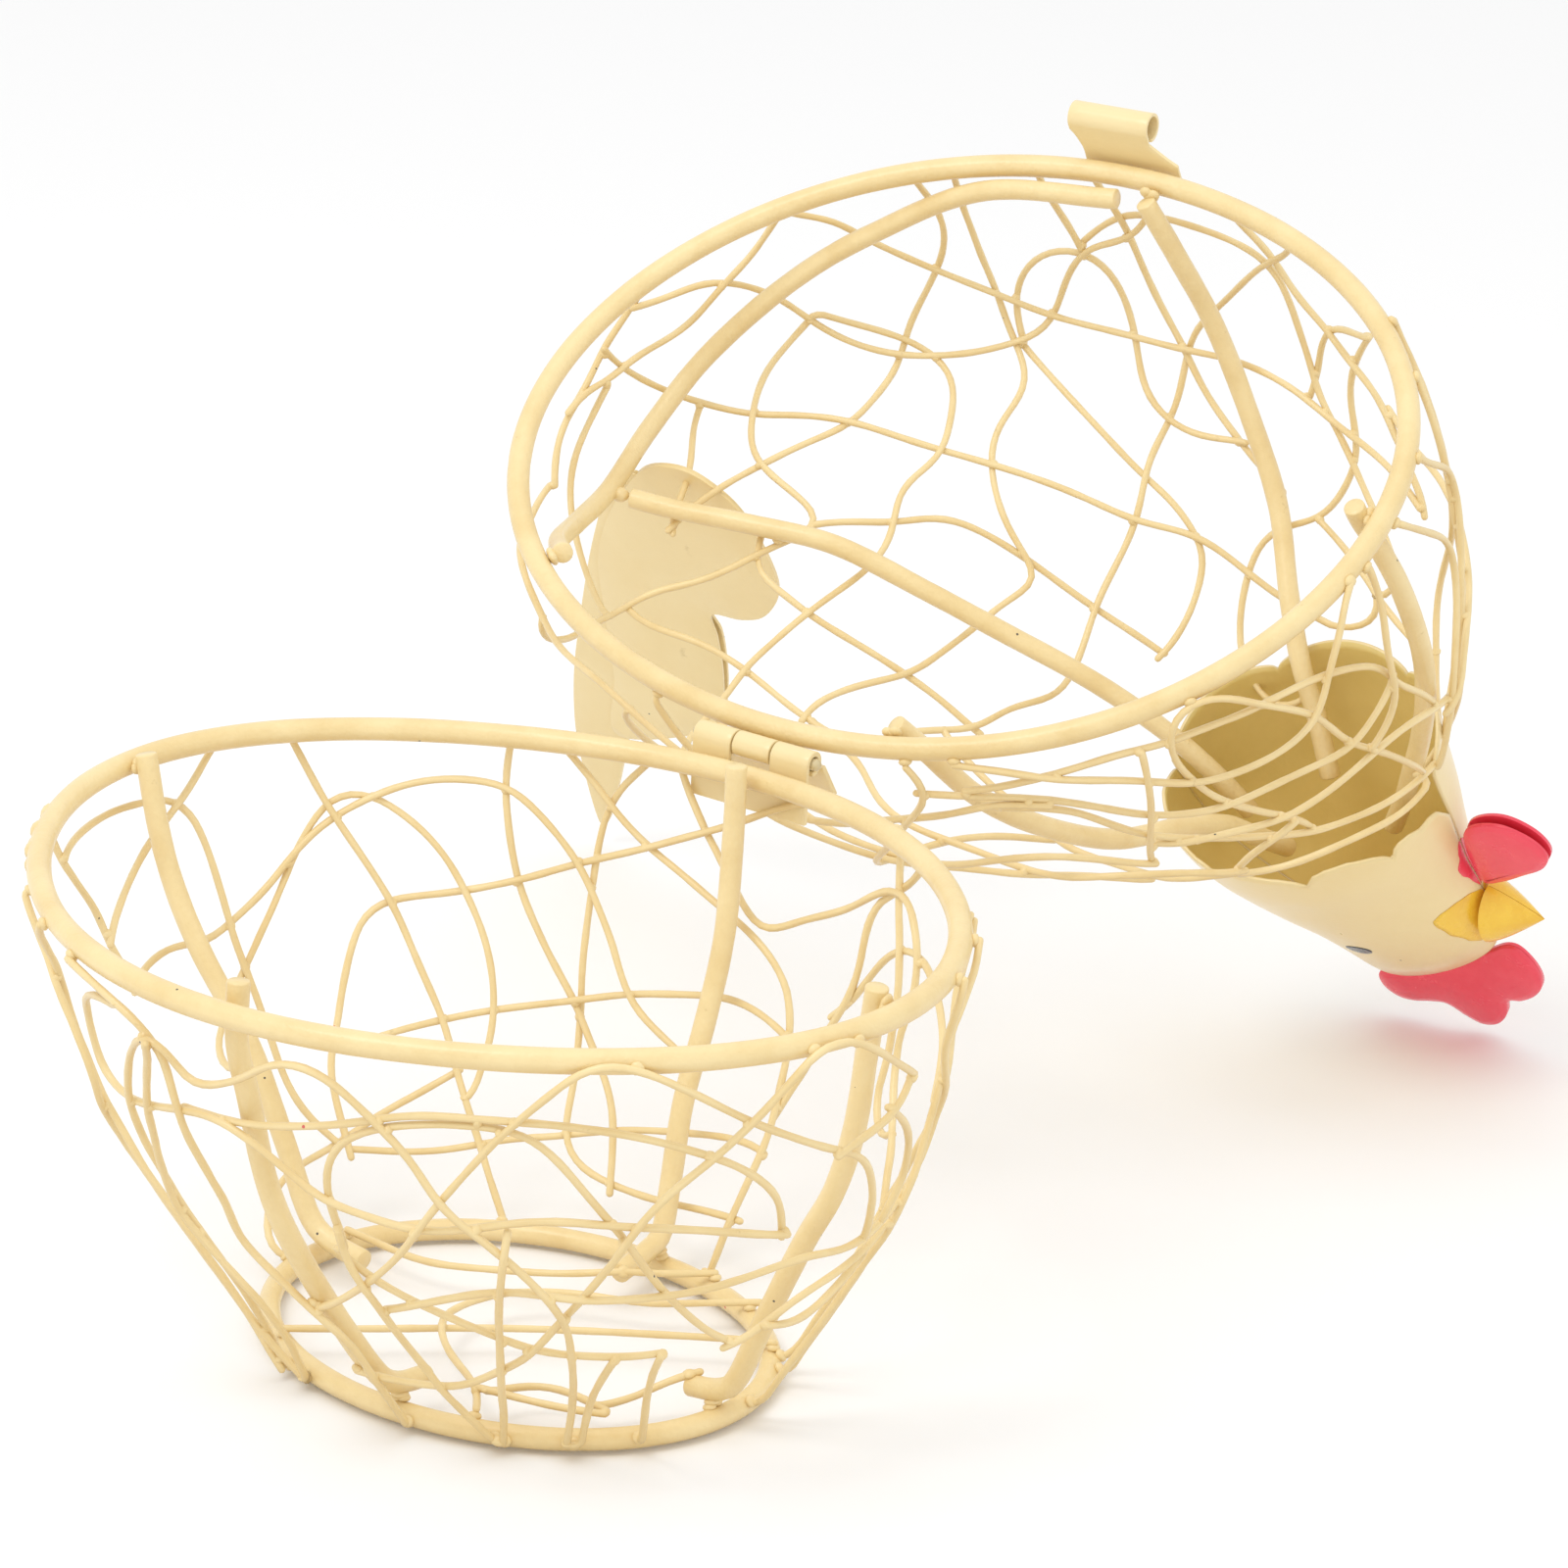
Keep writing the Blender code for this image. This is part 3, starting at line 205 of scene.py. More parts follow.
# closed rings of the lid's skin, evenly spaced in height share:
# head x, tail x, half width, head z, tail z, side z
LID_RINGS = np.array([
    [103.6, -102.6, 84.6, 105, 105, 105],
    [106.6, -104.5, 84.0, 124, 124, 125],
    [107.2, -96.0, 76.0, 146, 145, 151],
    [104.6, -48.0, 57.0, 170, 154, 171],
    [97.0, 27.0, 28.0, 192, 207, 202]])


def bowl_skin(degrees, z):
    t = math.radians(degrees)
    share = z / BOWL_H
    x, y = bowl_oval(t, min(1, max(0, share)))
    below = max(0.0, 1 - share)
    return np.array((np.interp(z, BOWL_Z, BOWL_AX) * x + BASE_CX * below,
                     np.interp(z, BOWL_Z, BOWL_BY) * y + BASE_CY * below,
                     z + 0.8 * math.cos(2 * t) * share))


def lid_skin(degrees, share):
    t = math.radians(degrees)
    share = min(1.0, max(0.0, share))
    (x_head, x_tail, half, z_head, z_tail, z_side), _ = eased_row(LID_RINGS, share)
    x, y = lid_oval(t, 1 - share)
    z_mid = (z_head + z_tail) / 2
    return np.array(((x_head + x_tail) / 2 + ((x_head - x_tail) / 2) * x, half * y,
                     z_mid + (z_head - z_tail) / 2 * math.cos(t)
                     + (z_side - z_mid) * math.sin(t) ** 2))


def floor_skin(x, y):
    return np.array((x, y, FLOOR_MESH_Z))


def wire_table(text):
    """Read 'name: a b, a b, ...' entries, parted by semicolons, as {name: [(a, b), ...]}."""
    wires = {}
    for entry in text.split(";"):
        name, points = entry.split(":")
        wires[name.strip()] = [tuple(map(float, p.split())) for p in points.split(",")]
    return wires


# waypoints of each bowl wire: degrees round from +x, height.
# b: the hinge side and tail, f: the latch side, r: the head end
BOWL_WIRES = wire_table("""
b01: 162 98, 166 92, 169 88, 173 85, 178 81, 183.5 76, 189 71, 192 68, 194.5 66, 198 60;
b02: 206 84, 198.5 88.5, 188.5 89.5, 181.5 89.5, 175 88.5, 170 88, 168 80, 167.5 75.5, 167 68,
  166.8 60, 166.3 50.5, 165.5 44, 166 31, 165.5 25.5, 163 20.5, 159 16;
b03: 200.5 97, 199 88.5, 199 85, 196.5 80, 194 75, 192 69, 193 64.5, 191.5 62, 189 55, 186 48;
b04: 152.5 98, 148.9 83.5, 147.3 79, 144.3 71, 141.5 63.5, 140.5 61, 138.8 53, 136.8 45,
  134.8 38.5, 133.5 28, 131 18, 130 13, 128.8 7, 127.5 1.5;
b05: 192 54, 186 57.5, 180 59.5, 175 59, 171.5 57, 166.2 60.5, 160.2 65, 155 71.5, 152.3 75.5,
  148.2 79.3, 142.3 84, 138 86.5, 133.5 88, 130.2 88.5, 127 88, 123.7 88, 120 83.5, 116.8 78,
  114 73, 112.2 67, 109.5 59, 106.8 49, 104.5 44.5, 100 41, 97.5 39.5;
b06: 176 40, 172 44, 168 49, 165.8 51, 159.6 60.5, 155.2 69.5, 152.2 76, 150.1 80.5, 147.7 84,
  144.5 86, 142 84, 139.5 81.8, 136.9 79, 132.9 72.5, 130.1 64.5, 128 57, 126.7 49.5, 126.5 40,
  127.7 33.5, 130 27;
b07: 159.5 4, 158 9, 157.3 15, 157 21, 156.5 31, 152.7 37.5, 151 43.5, 149 49.5, 146.8 56,
  145 60, 142.8 62, 136.8 63, 130.6 64.3, 126.3 66, 120 69, 116.7 71.3, 113.8 73, 105.2 78.3,
  100.3 82, 97 84.5, 95 86, 91.8 88.5, 89.8 91, 85 95, 80 98;
b08: 150 34, 145.5 35.5, 140.7 36.8, 134.3 38.7, 126.5 41, 120 42.7, 114.5 44.3, 106.7 47.5,
  99.5 49.5, 95.8 50.5, 91.5 52, 87.5 51.8, 83 50.5, 78 48;
b09: 123 99, 123.5 96, 124.2 91, 124.2 87, 123.8 76, 123.2 68, 122 63, 120 57, 117.2 50,
  114.3 44, 112.6 39.5, 110.8 36, 108.5 31, 106 26, 105 20, 104.5 12.5, 104.2 7, 104 3;
b10: 118 99, 117 97, 114.5 93.5, 110.7 87.5, 107.8 82.5, 105.2 78.3, 101 75.5, 95.2 70.5,
  90.5 67.5, 87.3 65, 84.2 62, 81.5 58, 80.5 54.5, 79.5 51.5, 79 46, 77.5 38, 76 29.5, 76.3 20,
  76.8 14, 77 7, 77.5 1;
b11: 102 99, 101.8 95.5, 99.7 90.5, 97 84, 95 80, 91.5 73, 89.5 69.5, 87.4 66.5, 84.2 69,
  81 72.5, 75 77, 70.3 82, 67.7 86, 65 88, 61.8 88, 58.5 85.5, 56.3 82.5, 54.5 78, 53.8 68,
  55.8 62, 54 55, 50.5 50, 46 44.5, 41 40;
b12: 105 97, 107.3 93, 110 89.5, 110.6 85.5, 111.7 78.5, 112.4 73, 112.7 65.5, 113.4 56,
  113.7 46.5, 113.5 36.5, 113.3 29, 114 23.5, 114.7 17.5, 113.5 14.5, 110 12, 105.5 11, 95.5 10,
  89.5 10.8, 80 12, 71 13, 66 13;
b13: 67 99, 66.5 93, 65 87.5, 62.5 82, 61 77.5, 58.5 68, 57.5 60, 56 50;
b14: 60 97, 61.5 93, 64.5 88.5, 68 84.5, 69.5 80, 69.2 72, 68.8 65.5, 69.5 61.5, 71.5 56, 73 50,
  74.5 44, 76.5 38, 77.5 33;
b15: 72.5 56, 69 62.5, 66 71, 63.2 75.5, 61.2 77.5, 57.5 78, 54.8 78.5, 50 77, 44 75, 38 72,
  33 67, 30 60;
b16: 180 11, 176 13, 167 14.5, 157.5 16.5, 150 20.5, 147 21.5, 140.3 24.5, 133 29;
b17: 156.5 15, 146.5 13.5, 138.3 13.5, 131 15, 122.8 17, 115.5 18, 110.2 20, 100.8 22.5,
  91 24.5, 85.5 26, 78.5 27, 76 26.8, 72.5 24.5, 66.5 22;
f01: 262.5 73.5, 267 74, 272 74.7, 277.8 77, 285.3 80.3, 290 83, 294 85.2, 297.5 86, 302.3 86,
  308 86, 313.3 85.5, 318.7 84, 324 82, 327.7 79.5, 332 77, 336.3 73, 339.5 68.5, 342 64.5,
  342 59.5, 343 54;
f02: 282 49.5, 282.5 55, 281.5 61, 282.6 70, 285 77, 288 79, 290 81.5, 293 82.5, 297.5 84,
  302.2 84.3, 307 84, 309.3 82, 312.7 75.5, 315.5 69, 318.3 63, 320 59.5, 322.9 52, 326.5 44.5,
  331.5 37, 336 31.5, 341 28;
f03: 279 52, 282.5 45.5, 284.5 43, 289.8 38.5, 295.8 35, 303.5 30.5, 308 28, 315 27.5, 322 27,
  328 27.5, 334 29;
f04: 255 92.5, 252.5 93.2, 248.5 90, 244.5 85.5, 243 81, 243.5 77.5, 242 72, 242.5 69, 247.5 67,
  253 68.5, 258.5 71.5, 262.8 74, 269 75.5, 271.5 73.5, 276.3 68.5, 280.3 62.8, 283.5 61.5,
  289.5 59, 293.3 57.8, 300.8 60.2, 305 62.3, 309 63.5, 315 64, 320 63.2, 330 61, 335.5 59.5,
  340 58, 344.5 57;
f05: 264.5 26, 270 28.5, 275 31.5, 279 35.5, 283.7 41.5, 288 47.5, 291.5 54, 294 60, 297 66.5,
  301.7 76, 305 83, 308 88.5, 311 93, 314.3 98.5, 317.2 100.5, 320 100, 322 98.5, 327 94,
  332.3 88, 337 83.2, 341.5 79.8, 347.5 74.8, 351 73, 355.5 69.5, 359 62, 361 55;
f06: 274 13, 282 13, 289.5 14, 294 14.5, 300.5 21, 306.3 27, 309 32.5, 312 38.5, 315.3 46,
  318 52.5, 320 59.5, 322.5 66, 326 71.5, 329.3 76, 332 79.3, 335.8 86, 339 92.5, 342.3 99,
  344.5 101, 347.5 100.5, 353 95, 358.5 89, 363 85, 370 78;
f07: 278.7 31.5, 285 34.5, 289 38, 292 39.7, 298 43, 303.7 45.5, 310 45.5, 317 45, 322.3 45.3,
  327.5 45.5, 334 46, 338.5 47, 344.5 48.5, 349 49, 358.5 46, 366 47, 371 49, 376 52;
f08: 247 97, 254 95.5, 257.5 93.5, 260 91, 261.5 90, 262 83.7, 262.7 79.3, 263 75.5, 263.5 71.5,
  262.6 66, 263.5 59, 264.5 53, 263 45.5, 263.5 41.5, 266.5 37.5, 270.3 34.5, 273 31,
  275.5 26.5, 277 20, 278.5 12, 279.5 4.5, 280 0;
f09: 245 0, 250 20, 250 40, 250 60, 252.3 73, 254.3 80, 257.5 86, 261.5 91, 263.5 91,
  263.5 87.5, 263.5 81.5, 265.2 79.8, 268.7 82, 273 85.3, 275.5 88.5, 278 92, 281 94, 283.8 94,
  286 91, 288 88, 290 83, 293.3 78, 297 67, 300 61, 302 59, 305.7 53, 309 48, 311.5 43,
  312.3 40, 313 35, 313.5 27, 314 14, 314 1;
f10: 262 90, 258.5 80, 256.5 72, 254.8 64, 253 57, 251 50, 250 42, 252 30, 256 16, 254 2;
f11: 238 98, 233 90, 230 82, 229 74, 230 66, 233 58, 236 50, 238 42, 240 33, 242 24, 246 14,
  250 5, 252 0;
f12: 226 96, 228 86, 233 76, 236 68, 236 60, 232 50, 230 40, 234 28, 240 16, 244 6, 246 0;
f13: 282.5 55, 282.5 47, 284.5 43, 285.5 37, 287 26, 290 17, 293.5 8.5, 299 0.5;
f14: 305 60, 304.8 57, 303.7 47, 302.9 40, 302.3 26, 301.5 15, 301.5 6, 301 0;
f15: 328 30, 327 22, 328 12, 330 2;
f16: 320 27, 318 20, 317 12, 317 2;
r01: 353 86, 357.5 80, 362.5 75.5, 368 66.5, 370 58, 368 50;
r02: 363 83, 361 79.5, 356.5 77, 353 76, 348.5 73.5, 345.8 70, 343.5 66;
r03: 388 99, 384 92, 380 84, 378 76, 377 68, 375 60, 373 52, 372 44, 372 36, 370 28, 368 20,
  366 12, 365 4;
r04: 374 99, 373 90, 375 80, 380 70, 382 62, 380 52, 376 44, 378 34, 380 24, 382 12, 384 3;
r05: 398 97, 396 88, 393 78, 391 68, 392 58, 393 48, 394 38, 392 28, 390 16, 391 5;
r06: 330 24, 336 27, 341 29, 346 33, 350 37, 354.5 39, 360 40, 366 42, 371 45;
r07: 343.5 34, 348 33, 354 30, 359 32, 365 37
""")
# waypoints of the bottom wires: x, y
FLOOR_WIRES = wire_table("""
ga: -30 -31, -17.8 -20.8, 7.6 1.2, 40.4 23.7, 50 29;
gb: -52 13, -37.5 11.7, -30.4 11.2, -23.4 13.3, -16.3 17.6, -7 22, 8 31, 13.5 37.3, 20 47;
gc: 24 -33, 17.3 -25.2, 2.2 -17.2, -7.8 -7.4, -8.9 2.2, -6.4 12.2, 5.8 21.4, 15.3 24.4,
  21.6 28.5, 30.2 37.2, 36 42;
gd: 21.7 -24, 24.7 -17.5, 29.1 -15, 36.2 -15.5, 43.9 -16.7;
ge: 16.8 -28.3, 28.8 -24.5, 39 -21, 46.5 -17.1;
gf: 44.2 -7.3, 52.2 2.3
""")
# waypoints of the lid wires: degrees round from +x, share of the lid's height
LID_WIRES = wire_table("""
l01: 225 0.04, 223 0.09, 219.7 0.185, 214.7 0.24, 211.8 0.26, 207.5 0.31, 200.8 0.31,
  195.5 0.29, 191.5 0.31, 187 0.26, 181.5 0.27, 176 0.26;
l02: 223 0.02, 225 0.09, 231.5 0.17, 234 0.25, 238.5 0.32, 242.5 0.37, 246.5 0.41, 250.5 0.445,
  256.5 0.49, 266 0.515, 272.5 0.525, 278.5 0.52, 283.5 0.52, 290.8 0.54, 294 0.56,
  297.5 0.575, 307.5 0.59, 315 0.62;
l03: 198 0.12, 201 0.155, 204.5 0.19, 210 0.21, 213 0.235, 217.7 0.3, 221.3 0.36, 223.8 0.43,
  226.5 0.495, 231 0.55, 236.5 0.565, 242.5 0.565, 248 0.545, 251.5 0.535, 256.3 0.49,
  259 0.415, 262.3 0.34, 263.7 0.315, 268.7 0.295, 271.8 0.245, 273 0.2;
l04: 223.8 0.43, 219.2 0.465, 213 0.5, 205.5 0.565, 199 0.61, 194.5 0.645, 191 0.7,
  187.5 0.745, 178 0.725, 172.5 0.705, 168 0.69, 165.3 0.67, 162 0.645, 161 0.61, 158.5 0.585,
  154.5 0.55, 151 0.5, 146 0.44;
l05: 225.8 0.425, 228.7 0.46, 233.8 0.51, 236 0.55, 236 0.595, 231.5 0.66, 220.5 0.735,
  214 0.75, 205 0.76, 197 0.785, 188 0.795, 178.5 0.79, 172.5 0.78, 164.8 0.765, 158 0.745,
  152 0.725, 145.3 0.69, 140 0.665, 136 0.64, 130 0.58, 124 0.52;
l06: 191 0.1, 193 0.175, 192.8 0.235, 194 0.285, 195 0.33, 198 0.405, 199.5 0.45, 202.5 0.51,
  205.3 0.565, 212.7 0.65, 216 0.7, 220.5 0.735, 224.5 0.76, 235 0.805, 242 0.835, 252 0.845,
  255 0.855, 259.5 0.885, 263.5 0.905, 268.5 0.92, 276 0.93;
l07: 243 0.04, 243.5 0.1, 245 0.175, 245.3 0.26, 244.5 0.33, 243 0.375, 239 0.45, 234.2 0.51,
  231 0.56, 224 0.61, 213.7 0.655, 201.5 0.655, 193.8 0.645, 190.8 0.64, 187.5 0.635, 180 0.62,
  172 0.6;
l08: 201 0.5, 198.5 0.51, 193.5 0.555, 189.5 0.575, 184.5 0.595, 176 0.6, 168 0.63;
l09: 248.5 0.1, 248.5 0.25, 249.3 0.39, 249.8 0.44, 248.3 0.54, 247 0.605, 242.5 0.66,
  231.5 0.72, 224 0.77, 214.5 0.83, 210 0.87, 200 0.87, 188 0.87, 179 0.865, 169.5 0.855,
  160.3 0.84, 152.5 0.81, 145 0.775, 137.5 0.735, 130 0.7;
l10: 249.5 0.54, 250.8 0.49, 252.3 0.43, 255.3 0.365, 258.8 0.335, 261.7 0.34, 264.8 0.36,
  266.7 0.42, 266.7 0.49, 264.8 0.57, 262.5 0.635, 262.5 0.68, 265 0.7, 269 0.705, 274.5 0.69,
  279 0.69;
l11: 259.5 0.04, 259.7 0.13, 260.7 0.225, 262 0.305, 262.4 0.33;
l12: 267 0.06, 267.5 0.14, 268 0.19, 268.8 0.245, 269.2 0.295, 270.8 0.385, 272 0.46,
  272.8 0.52, 272.7 0.6, 273.2 0.65, 274.2 0.69, 275 0.715, 279 0.76;
l13: 296 0.08, 294.3 0.165, 289 0.25, 282.5 0.375, 278.3 0.44, 273.5 0.51, 270.5 0.585,
  264.7 0.675, 252.2 0.775, 243.5 0.83, 231.5 0.87, 216 0.9, 203 0.92, 190 0.93, 179.5 0.93,
  169 0.91, 163 0.9, 153 0.885, 147 0.86, 143.5 0.84, 136 0.8;
l14: 262.5 0.32, 265 0.28, 267.8 0.24, 272 0.215, 275.5 0.205, 278.5 0.21, 281.7 0.21,
  286.3 0.225, 290 0.26, 292 0.325, 293 0.4, 294 0.46, 293.6 0.52, 294 0.565, 296 0.59,
  297.7 0.645, 300.5 0.715, 304 0.78;
l15: 285.5 0.05, 286.8 0.13, 289 0.19, 291 0.25, 293.5 0.31, 298.3 0.345, 302 0.4, 307 0.425,
  308.5 0.46, 312 0.55, 316 0.65;
l16: 312 0.2, 307.5 0.29, 302.3 0.32, 298.3 0.345, 296 0.4, 294.5 0.475, 291.7 0.545,
  289.4 0.6, 286.5 0.645, 284 0.67;
l17: 306 0.3, 302.5 0.39, 300 0.49, 299.8 0.56, 297.7 0.645, 291.5 0.735, 285.5 0.785,
  276.5 0.81, 267 0.845, 260.5 0.88, 256 0.9, 251.5 0.92, 243 0.955;
l18: 285.5 0.785, 288 0.8, 291 0.82, 296 0.86;
l19: 203 0.06, 201.7 0.12, 197 0.19, 192.5 0.23, 189.7 0.255, 186 0.285, 181.3 0.28, 177.5 0.3,
  172 0.36;
l20: 190.5 0.31, 186 0.345, 178 0.38, 172 0.43, 166 0.47;
l21: 249 0.545, 249.5 0.6, 249.3 0.66, 249.8 0.735, 251 0.785, 253.5 0.815, 252.5 0.84,
  253 0.86, 250 0.88, 244.5 0.9, 236.5 0.925, 220.5 0.95, 205 0.96, 194 0.965;
l22: 183 0.7, 170 0.71, 168.5 0.715, 167.5 0.735, 164.5 0.765, 162.3 0.8, 160.5 0.84,
  157 0.865, 152.5 0.885, 150.5 0.89, 144 0.91;
l23: 160 0.54, 154.5 0.57, 152 0.6, 151 0.635, 148.5 0.67, 146.5 0.685, 144.5 0.7, 141 0.71,
  136.5 0.73, 130 0.76;
l24: 187.5 0.745, 193 0.765, 198.7 0.785, 203.5 0.79, 207.5 0.8, 210 0.82, 212.5 0.85,
  213.5 0.88, 215.5 0.91, 218 0.935, 219.5 0.955;
l25: 69 0.12, 64.5 0.115, 60.5 0.1, 55 0.09, 49.3 0.08, 43 0.11, 39.5 0.105, 32.5 0.135,
  26 0.15, 19.5 0.19, 13.5 0.27, 11 0.32, 10 0.42, 7 0.49, 3.5 0.6;
l26: 38.5 0.81, 35 0.67, 34.8 0.615, 36.3 0.555, 38 0.49, 40.3 0.41, 42 0.35, 42.8 0.26,
  43.5 0.2, 43.5 0.125, 42.5 0.04, 40.3 0, 37 0, 35 0.015, 30.5 0.115, 28.8 0.155, 24 0.28,
  21.5 0.45, 19 0.52, 15.3 0.64, 10.5 0.8;
l27: 69 0.01, 62.5 0.05, 57 0.11, 52.8 0.15, 49.4 0.18, 45.3 0.235, 41.2 0.28, 35.5 0.31,
  29.8 0.315, 24.3 0.28, 21.7 0.235, 19.7 0.17, 14.5 0.1, 12 0.02, 9.5 0;
l28: 75 0.13, 69.5 0.14, 64 0.16, 58.5 0.205, 53.3 0.29, 49.9 0.345, 44 0.385, 38.8 0.4,
  32 0.415, 25.8 0.435, 21.3 0.455, 17 0.42, 12 0.39, 8 0.33;
l29: 66 0.2, 59 0.235, 55 0.34, 52.5 0.41, 48.5 0.48, 41.8 0.58, 35.5 0.66, 31 0.7, 25 0.755,
  14.5 0.81, 5 0.85;
l30: 52 0.46, 46.5 0.485, 41.8 0.51, 36.7 0.545, 32.8 0.55, 28.7 0.545, 24.2 0.54, 19 0.52,
  13 0.54, 5 0.6, -2 0.66;
l31: 35.5 0.58, 43 0.61, 49.5 0.7, 57 0.79, 60 0.84, 54 0.87, 43 0.85, 33 0.87, 22.5 0.94,
  8 0.98;
l32: 46.8 0.09, 47.3 0.17, 49.3 0.31, 52.3 0.44, 55 0.53, 58 0.62;
l33: 5.5 0.03, 6.3 0.14, 9 0.24, 11 0.32, 11.5 0.4, 13.5 0.47, 18.7 0.51;
l34: 130 0.62, 120 0.6, 110 0.585, 100 0.56, 90 0.55, 80 0.5, 72 0.44, 64 0.43, 57 0.5,
  52 0.56, 47 0.55;
l35: 135 0.73, 125 0.75, 115 0.72, 105 0.7, 95 0.72, 85 0.7, 75 0.66, 68 0.62, 60 0.64,
  54 0.68, 50 0.74;
l36: 128 0.45, 118 0.42, 108 0.38, 98 0.37, 88 0.33, 80 0.26, 72 0.22, 66 0.17, 60 0.2;
l37: 140 0.86, 128 0.87, 116 0.88, 104 0.86, 92 0.87, 80 0.85, 70 0.8, 62 0.79;
l38: 110 0.05, 106 0.2, 100 0.35, 92 0.5, 86 0.62, 82 0.75, 80 0.88;
l39: 75 0.02, 73 0.12, 78 0.25, 84 0.4, 90 0.5, 96 0.64, 104 0.78, 112 0.9;
l40: 330 0.02, 333 0.15, 338 0.3, 340 0.45, 336 0.6, 332 0.75, 336 0.9;
l41: 345 0.02, 341 0.15, 337 0.25, 341 0.4, 347 0.55, 350 0.7, 346 0.85, 342 0.95;
l42: 356 0.05, 351 0.2, 346 0.35, 350 0.5, 357 0.6, 362 0.75, 366 0.9;
l43: 320 0, 322 0.12, 327 0.25, 331 0.4, 329 0.55, 323 0.68, 319 0.8, 322 0.92;
l44: 308 0.46, 314 0.5, 322 0.48, 330 0.5, 338 0.56, 347 0.55, 355 0.62, 363 0.68;
l45: 172 0.36, 162 0.3, 152 0.22, 142 0.26, 132 0.2, 122 0.14, 112 0.2, 104 0.27
""")
TOP_SHARE = 0.955       # no lid wire goes higher than this


# ---------------------------------------------------------------------------- materials
def coat(name, base, dark, rough, bump, scale=60.0, specks=True, crease_shade=0.35, underside_shade=0.0,
         rub=0.45):
    """Glossy powder coat: cloudy colour, painted shade (browner) in creases and where it looks
    down, dull rubbed spots (rub), orange-peel bump, dark and reddish specks."""
    m = bpy.data.materials.new(name)
    m.use_nodes = True
    nodes, link = m.node_tree.nodes, m.node_tree.links.new
    shader = nodes["Principled BSDF"]
    coords = nodes.new("ShaderNodeTexCoord").outputs["Object"]

    def noise(scale, detail=3, roughness=0.55):
        t = nodes.new("ShaderNodeTexNoise")
        t.inputs["Scale"].default_value = scale
        t.inputs["Detail"].default_value = detail
        t.inputs["Roughness"].default_value = roughness
        link(coords, t.inputs["Vector"])
        return t.outputs["Fac"]

    def ramp(factor, *stops):
        r = nodes.new("ShaderNodeValToRGB")
        for element, (position, colour) in zip(r.color_ramp.elements, stops):
            element.position = position
            element.color = (*colour, 1)
        link(factor, r.inputs["Fac"])
        return r.outputs["Color"]

    def calc(operation, a, b):
        t = nodes.new("ShaderNodeMath")
        t.operation = operation
        link(a, t.inputs[0])
        if isinstance(b, float):
            t.inputs[1].default_value = b
        else:
            link(b, t.inputs[1])
        return t.outputs[0]

    def mix(factor, colour, tint):
        t = nodes.new("ShaderNodeMix")
        t.data_type = "RGBA"
        link(factor, t.inputs["Factor"])
        link(colour, t.inputs["A"])
        t.inputs["B"].default_value = (*tint, 1)
        return t.outputs["Result"]

    def map_range(value, **settings):
        t = nodes.new("ShaderNodeMapRange")
        for key, number in settings.items():
            t.inputs[key.replace("_", " ").title()].default_value = number
        link(value, t.inputs["Value"])
        return t.outputs["Result"]

    black, white = (0, 0, 0), (1, 1, 1)
    colour = ramp(noise(scale, detail=5, roughness=0.6), (0.32, dark), (0.60, base))
    # brown: the tint of the painted shade below and of the rubbed spots
    brown = (dark[0] * 0.72, dark[1] * 0.64, dark[2] * 0.50)
    geometry = nodes.new("ShaderNodeNewGeometry")
    # painted shade: browner in creases, where the pointiness is low
    crease_shade_mask = ramp(geometry.outputs["Pointiness"], (0.41, white), (0.495, black))
    colour = mix(calc("MULTIPLY", crease_shade_mask, crease_shade), colour, brown)
    # painted shade: browner on faces that look down
    normal = nodes.new("ShaderNodeSeparateXYZ")
    link(geometry.outputs["Normal"], normal.inputs["Vector"])
    down = map_range(normal.outputs["Z"], from_min=0.15, from_max=-1.0, to_min=0.0,
                     to_max=underside_shade)
    colour = mix(down, colour, brown)
    patch = ramp(noise(scale * 2.6, detail=6, roughness=0.7), (0.66, black), (0.74, white))
    colour = mix(calc("MULTIPLY", patch, rub), colour, tuple(c * 0.8 for c in brown))
    if specks:
        # cells per metre, speck size, share of cells left bare, colour
        for cells, size, bare, tint in ((210.0, 0.060, 0.90, (0.10, 0.08, 0.06)),
                                        (120.0, 0.045, 0.93, (0.70, 0.12, 0.10))):
            voronoi = nodes.new("ShaderNodeTexVoronoi")
            voronoi.inputs["Scale"].default_value = cells
            link(coords, voronoi.inputs["Vector"])
            cell = nodes.new("ShaderNodeSeparateColor")
            link(voronoi.outputs["Color"], cell.inputs["Color"])
            spot = calc("MULTIPLY", calc("LESS_THAN", voronoi.outputs["Distance"], size),
                        calc("GREATER_THAN", cell.outputs["Red"], bare))
            colour = mix(spot, colour, tint)
    link(colour, shader.inputs["Base Color"])
    link(map_range(noise(scale * 4), to_min=rough - 0.08, to_max=rough + 0.16),
         shader.inputs["Roughness"])
    peel = nodes.new("ShaderNodeBump")
    peel.inputs["Strength"].default_value = bump
    peel.inputs["Distance"].default_value = 0.0006
    link(calc("ADD", noise(900, detail=2), noise(220)), peel.inputs["Height"])
    link(peel.outputs["Normal"], shader.inputs["Normal"])
    shader.inputs["Coat Weight"].default_value = 0.30
    shader.inputs["Coat Roughness"].default_value = 0.16
    shader.inputs["Specular IOR Level"].default_value = 0.45
    return m


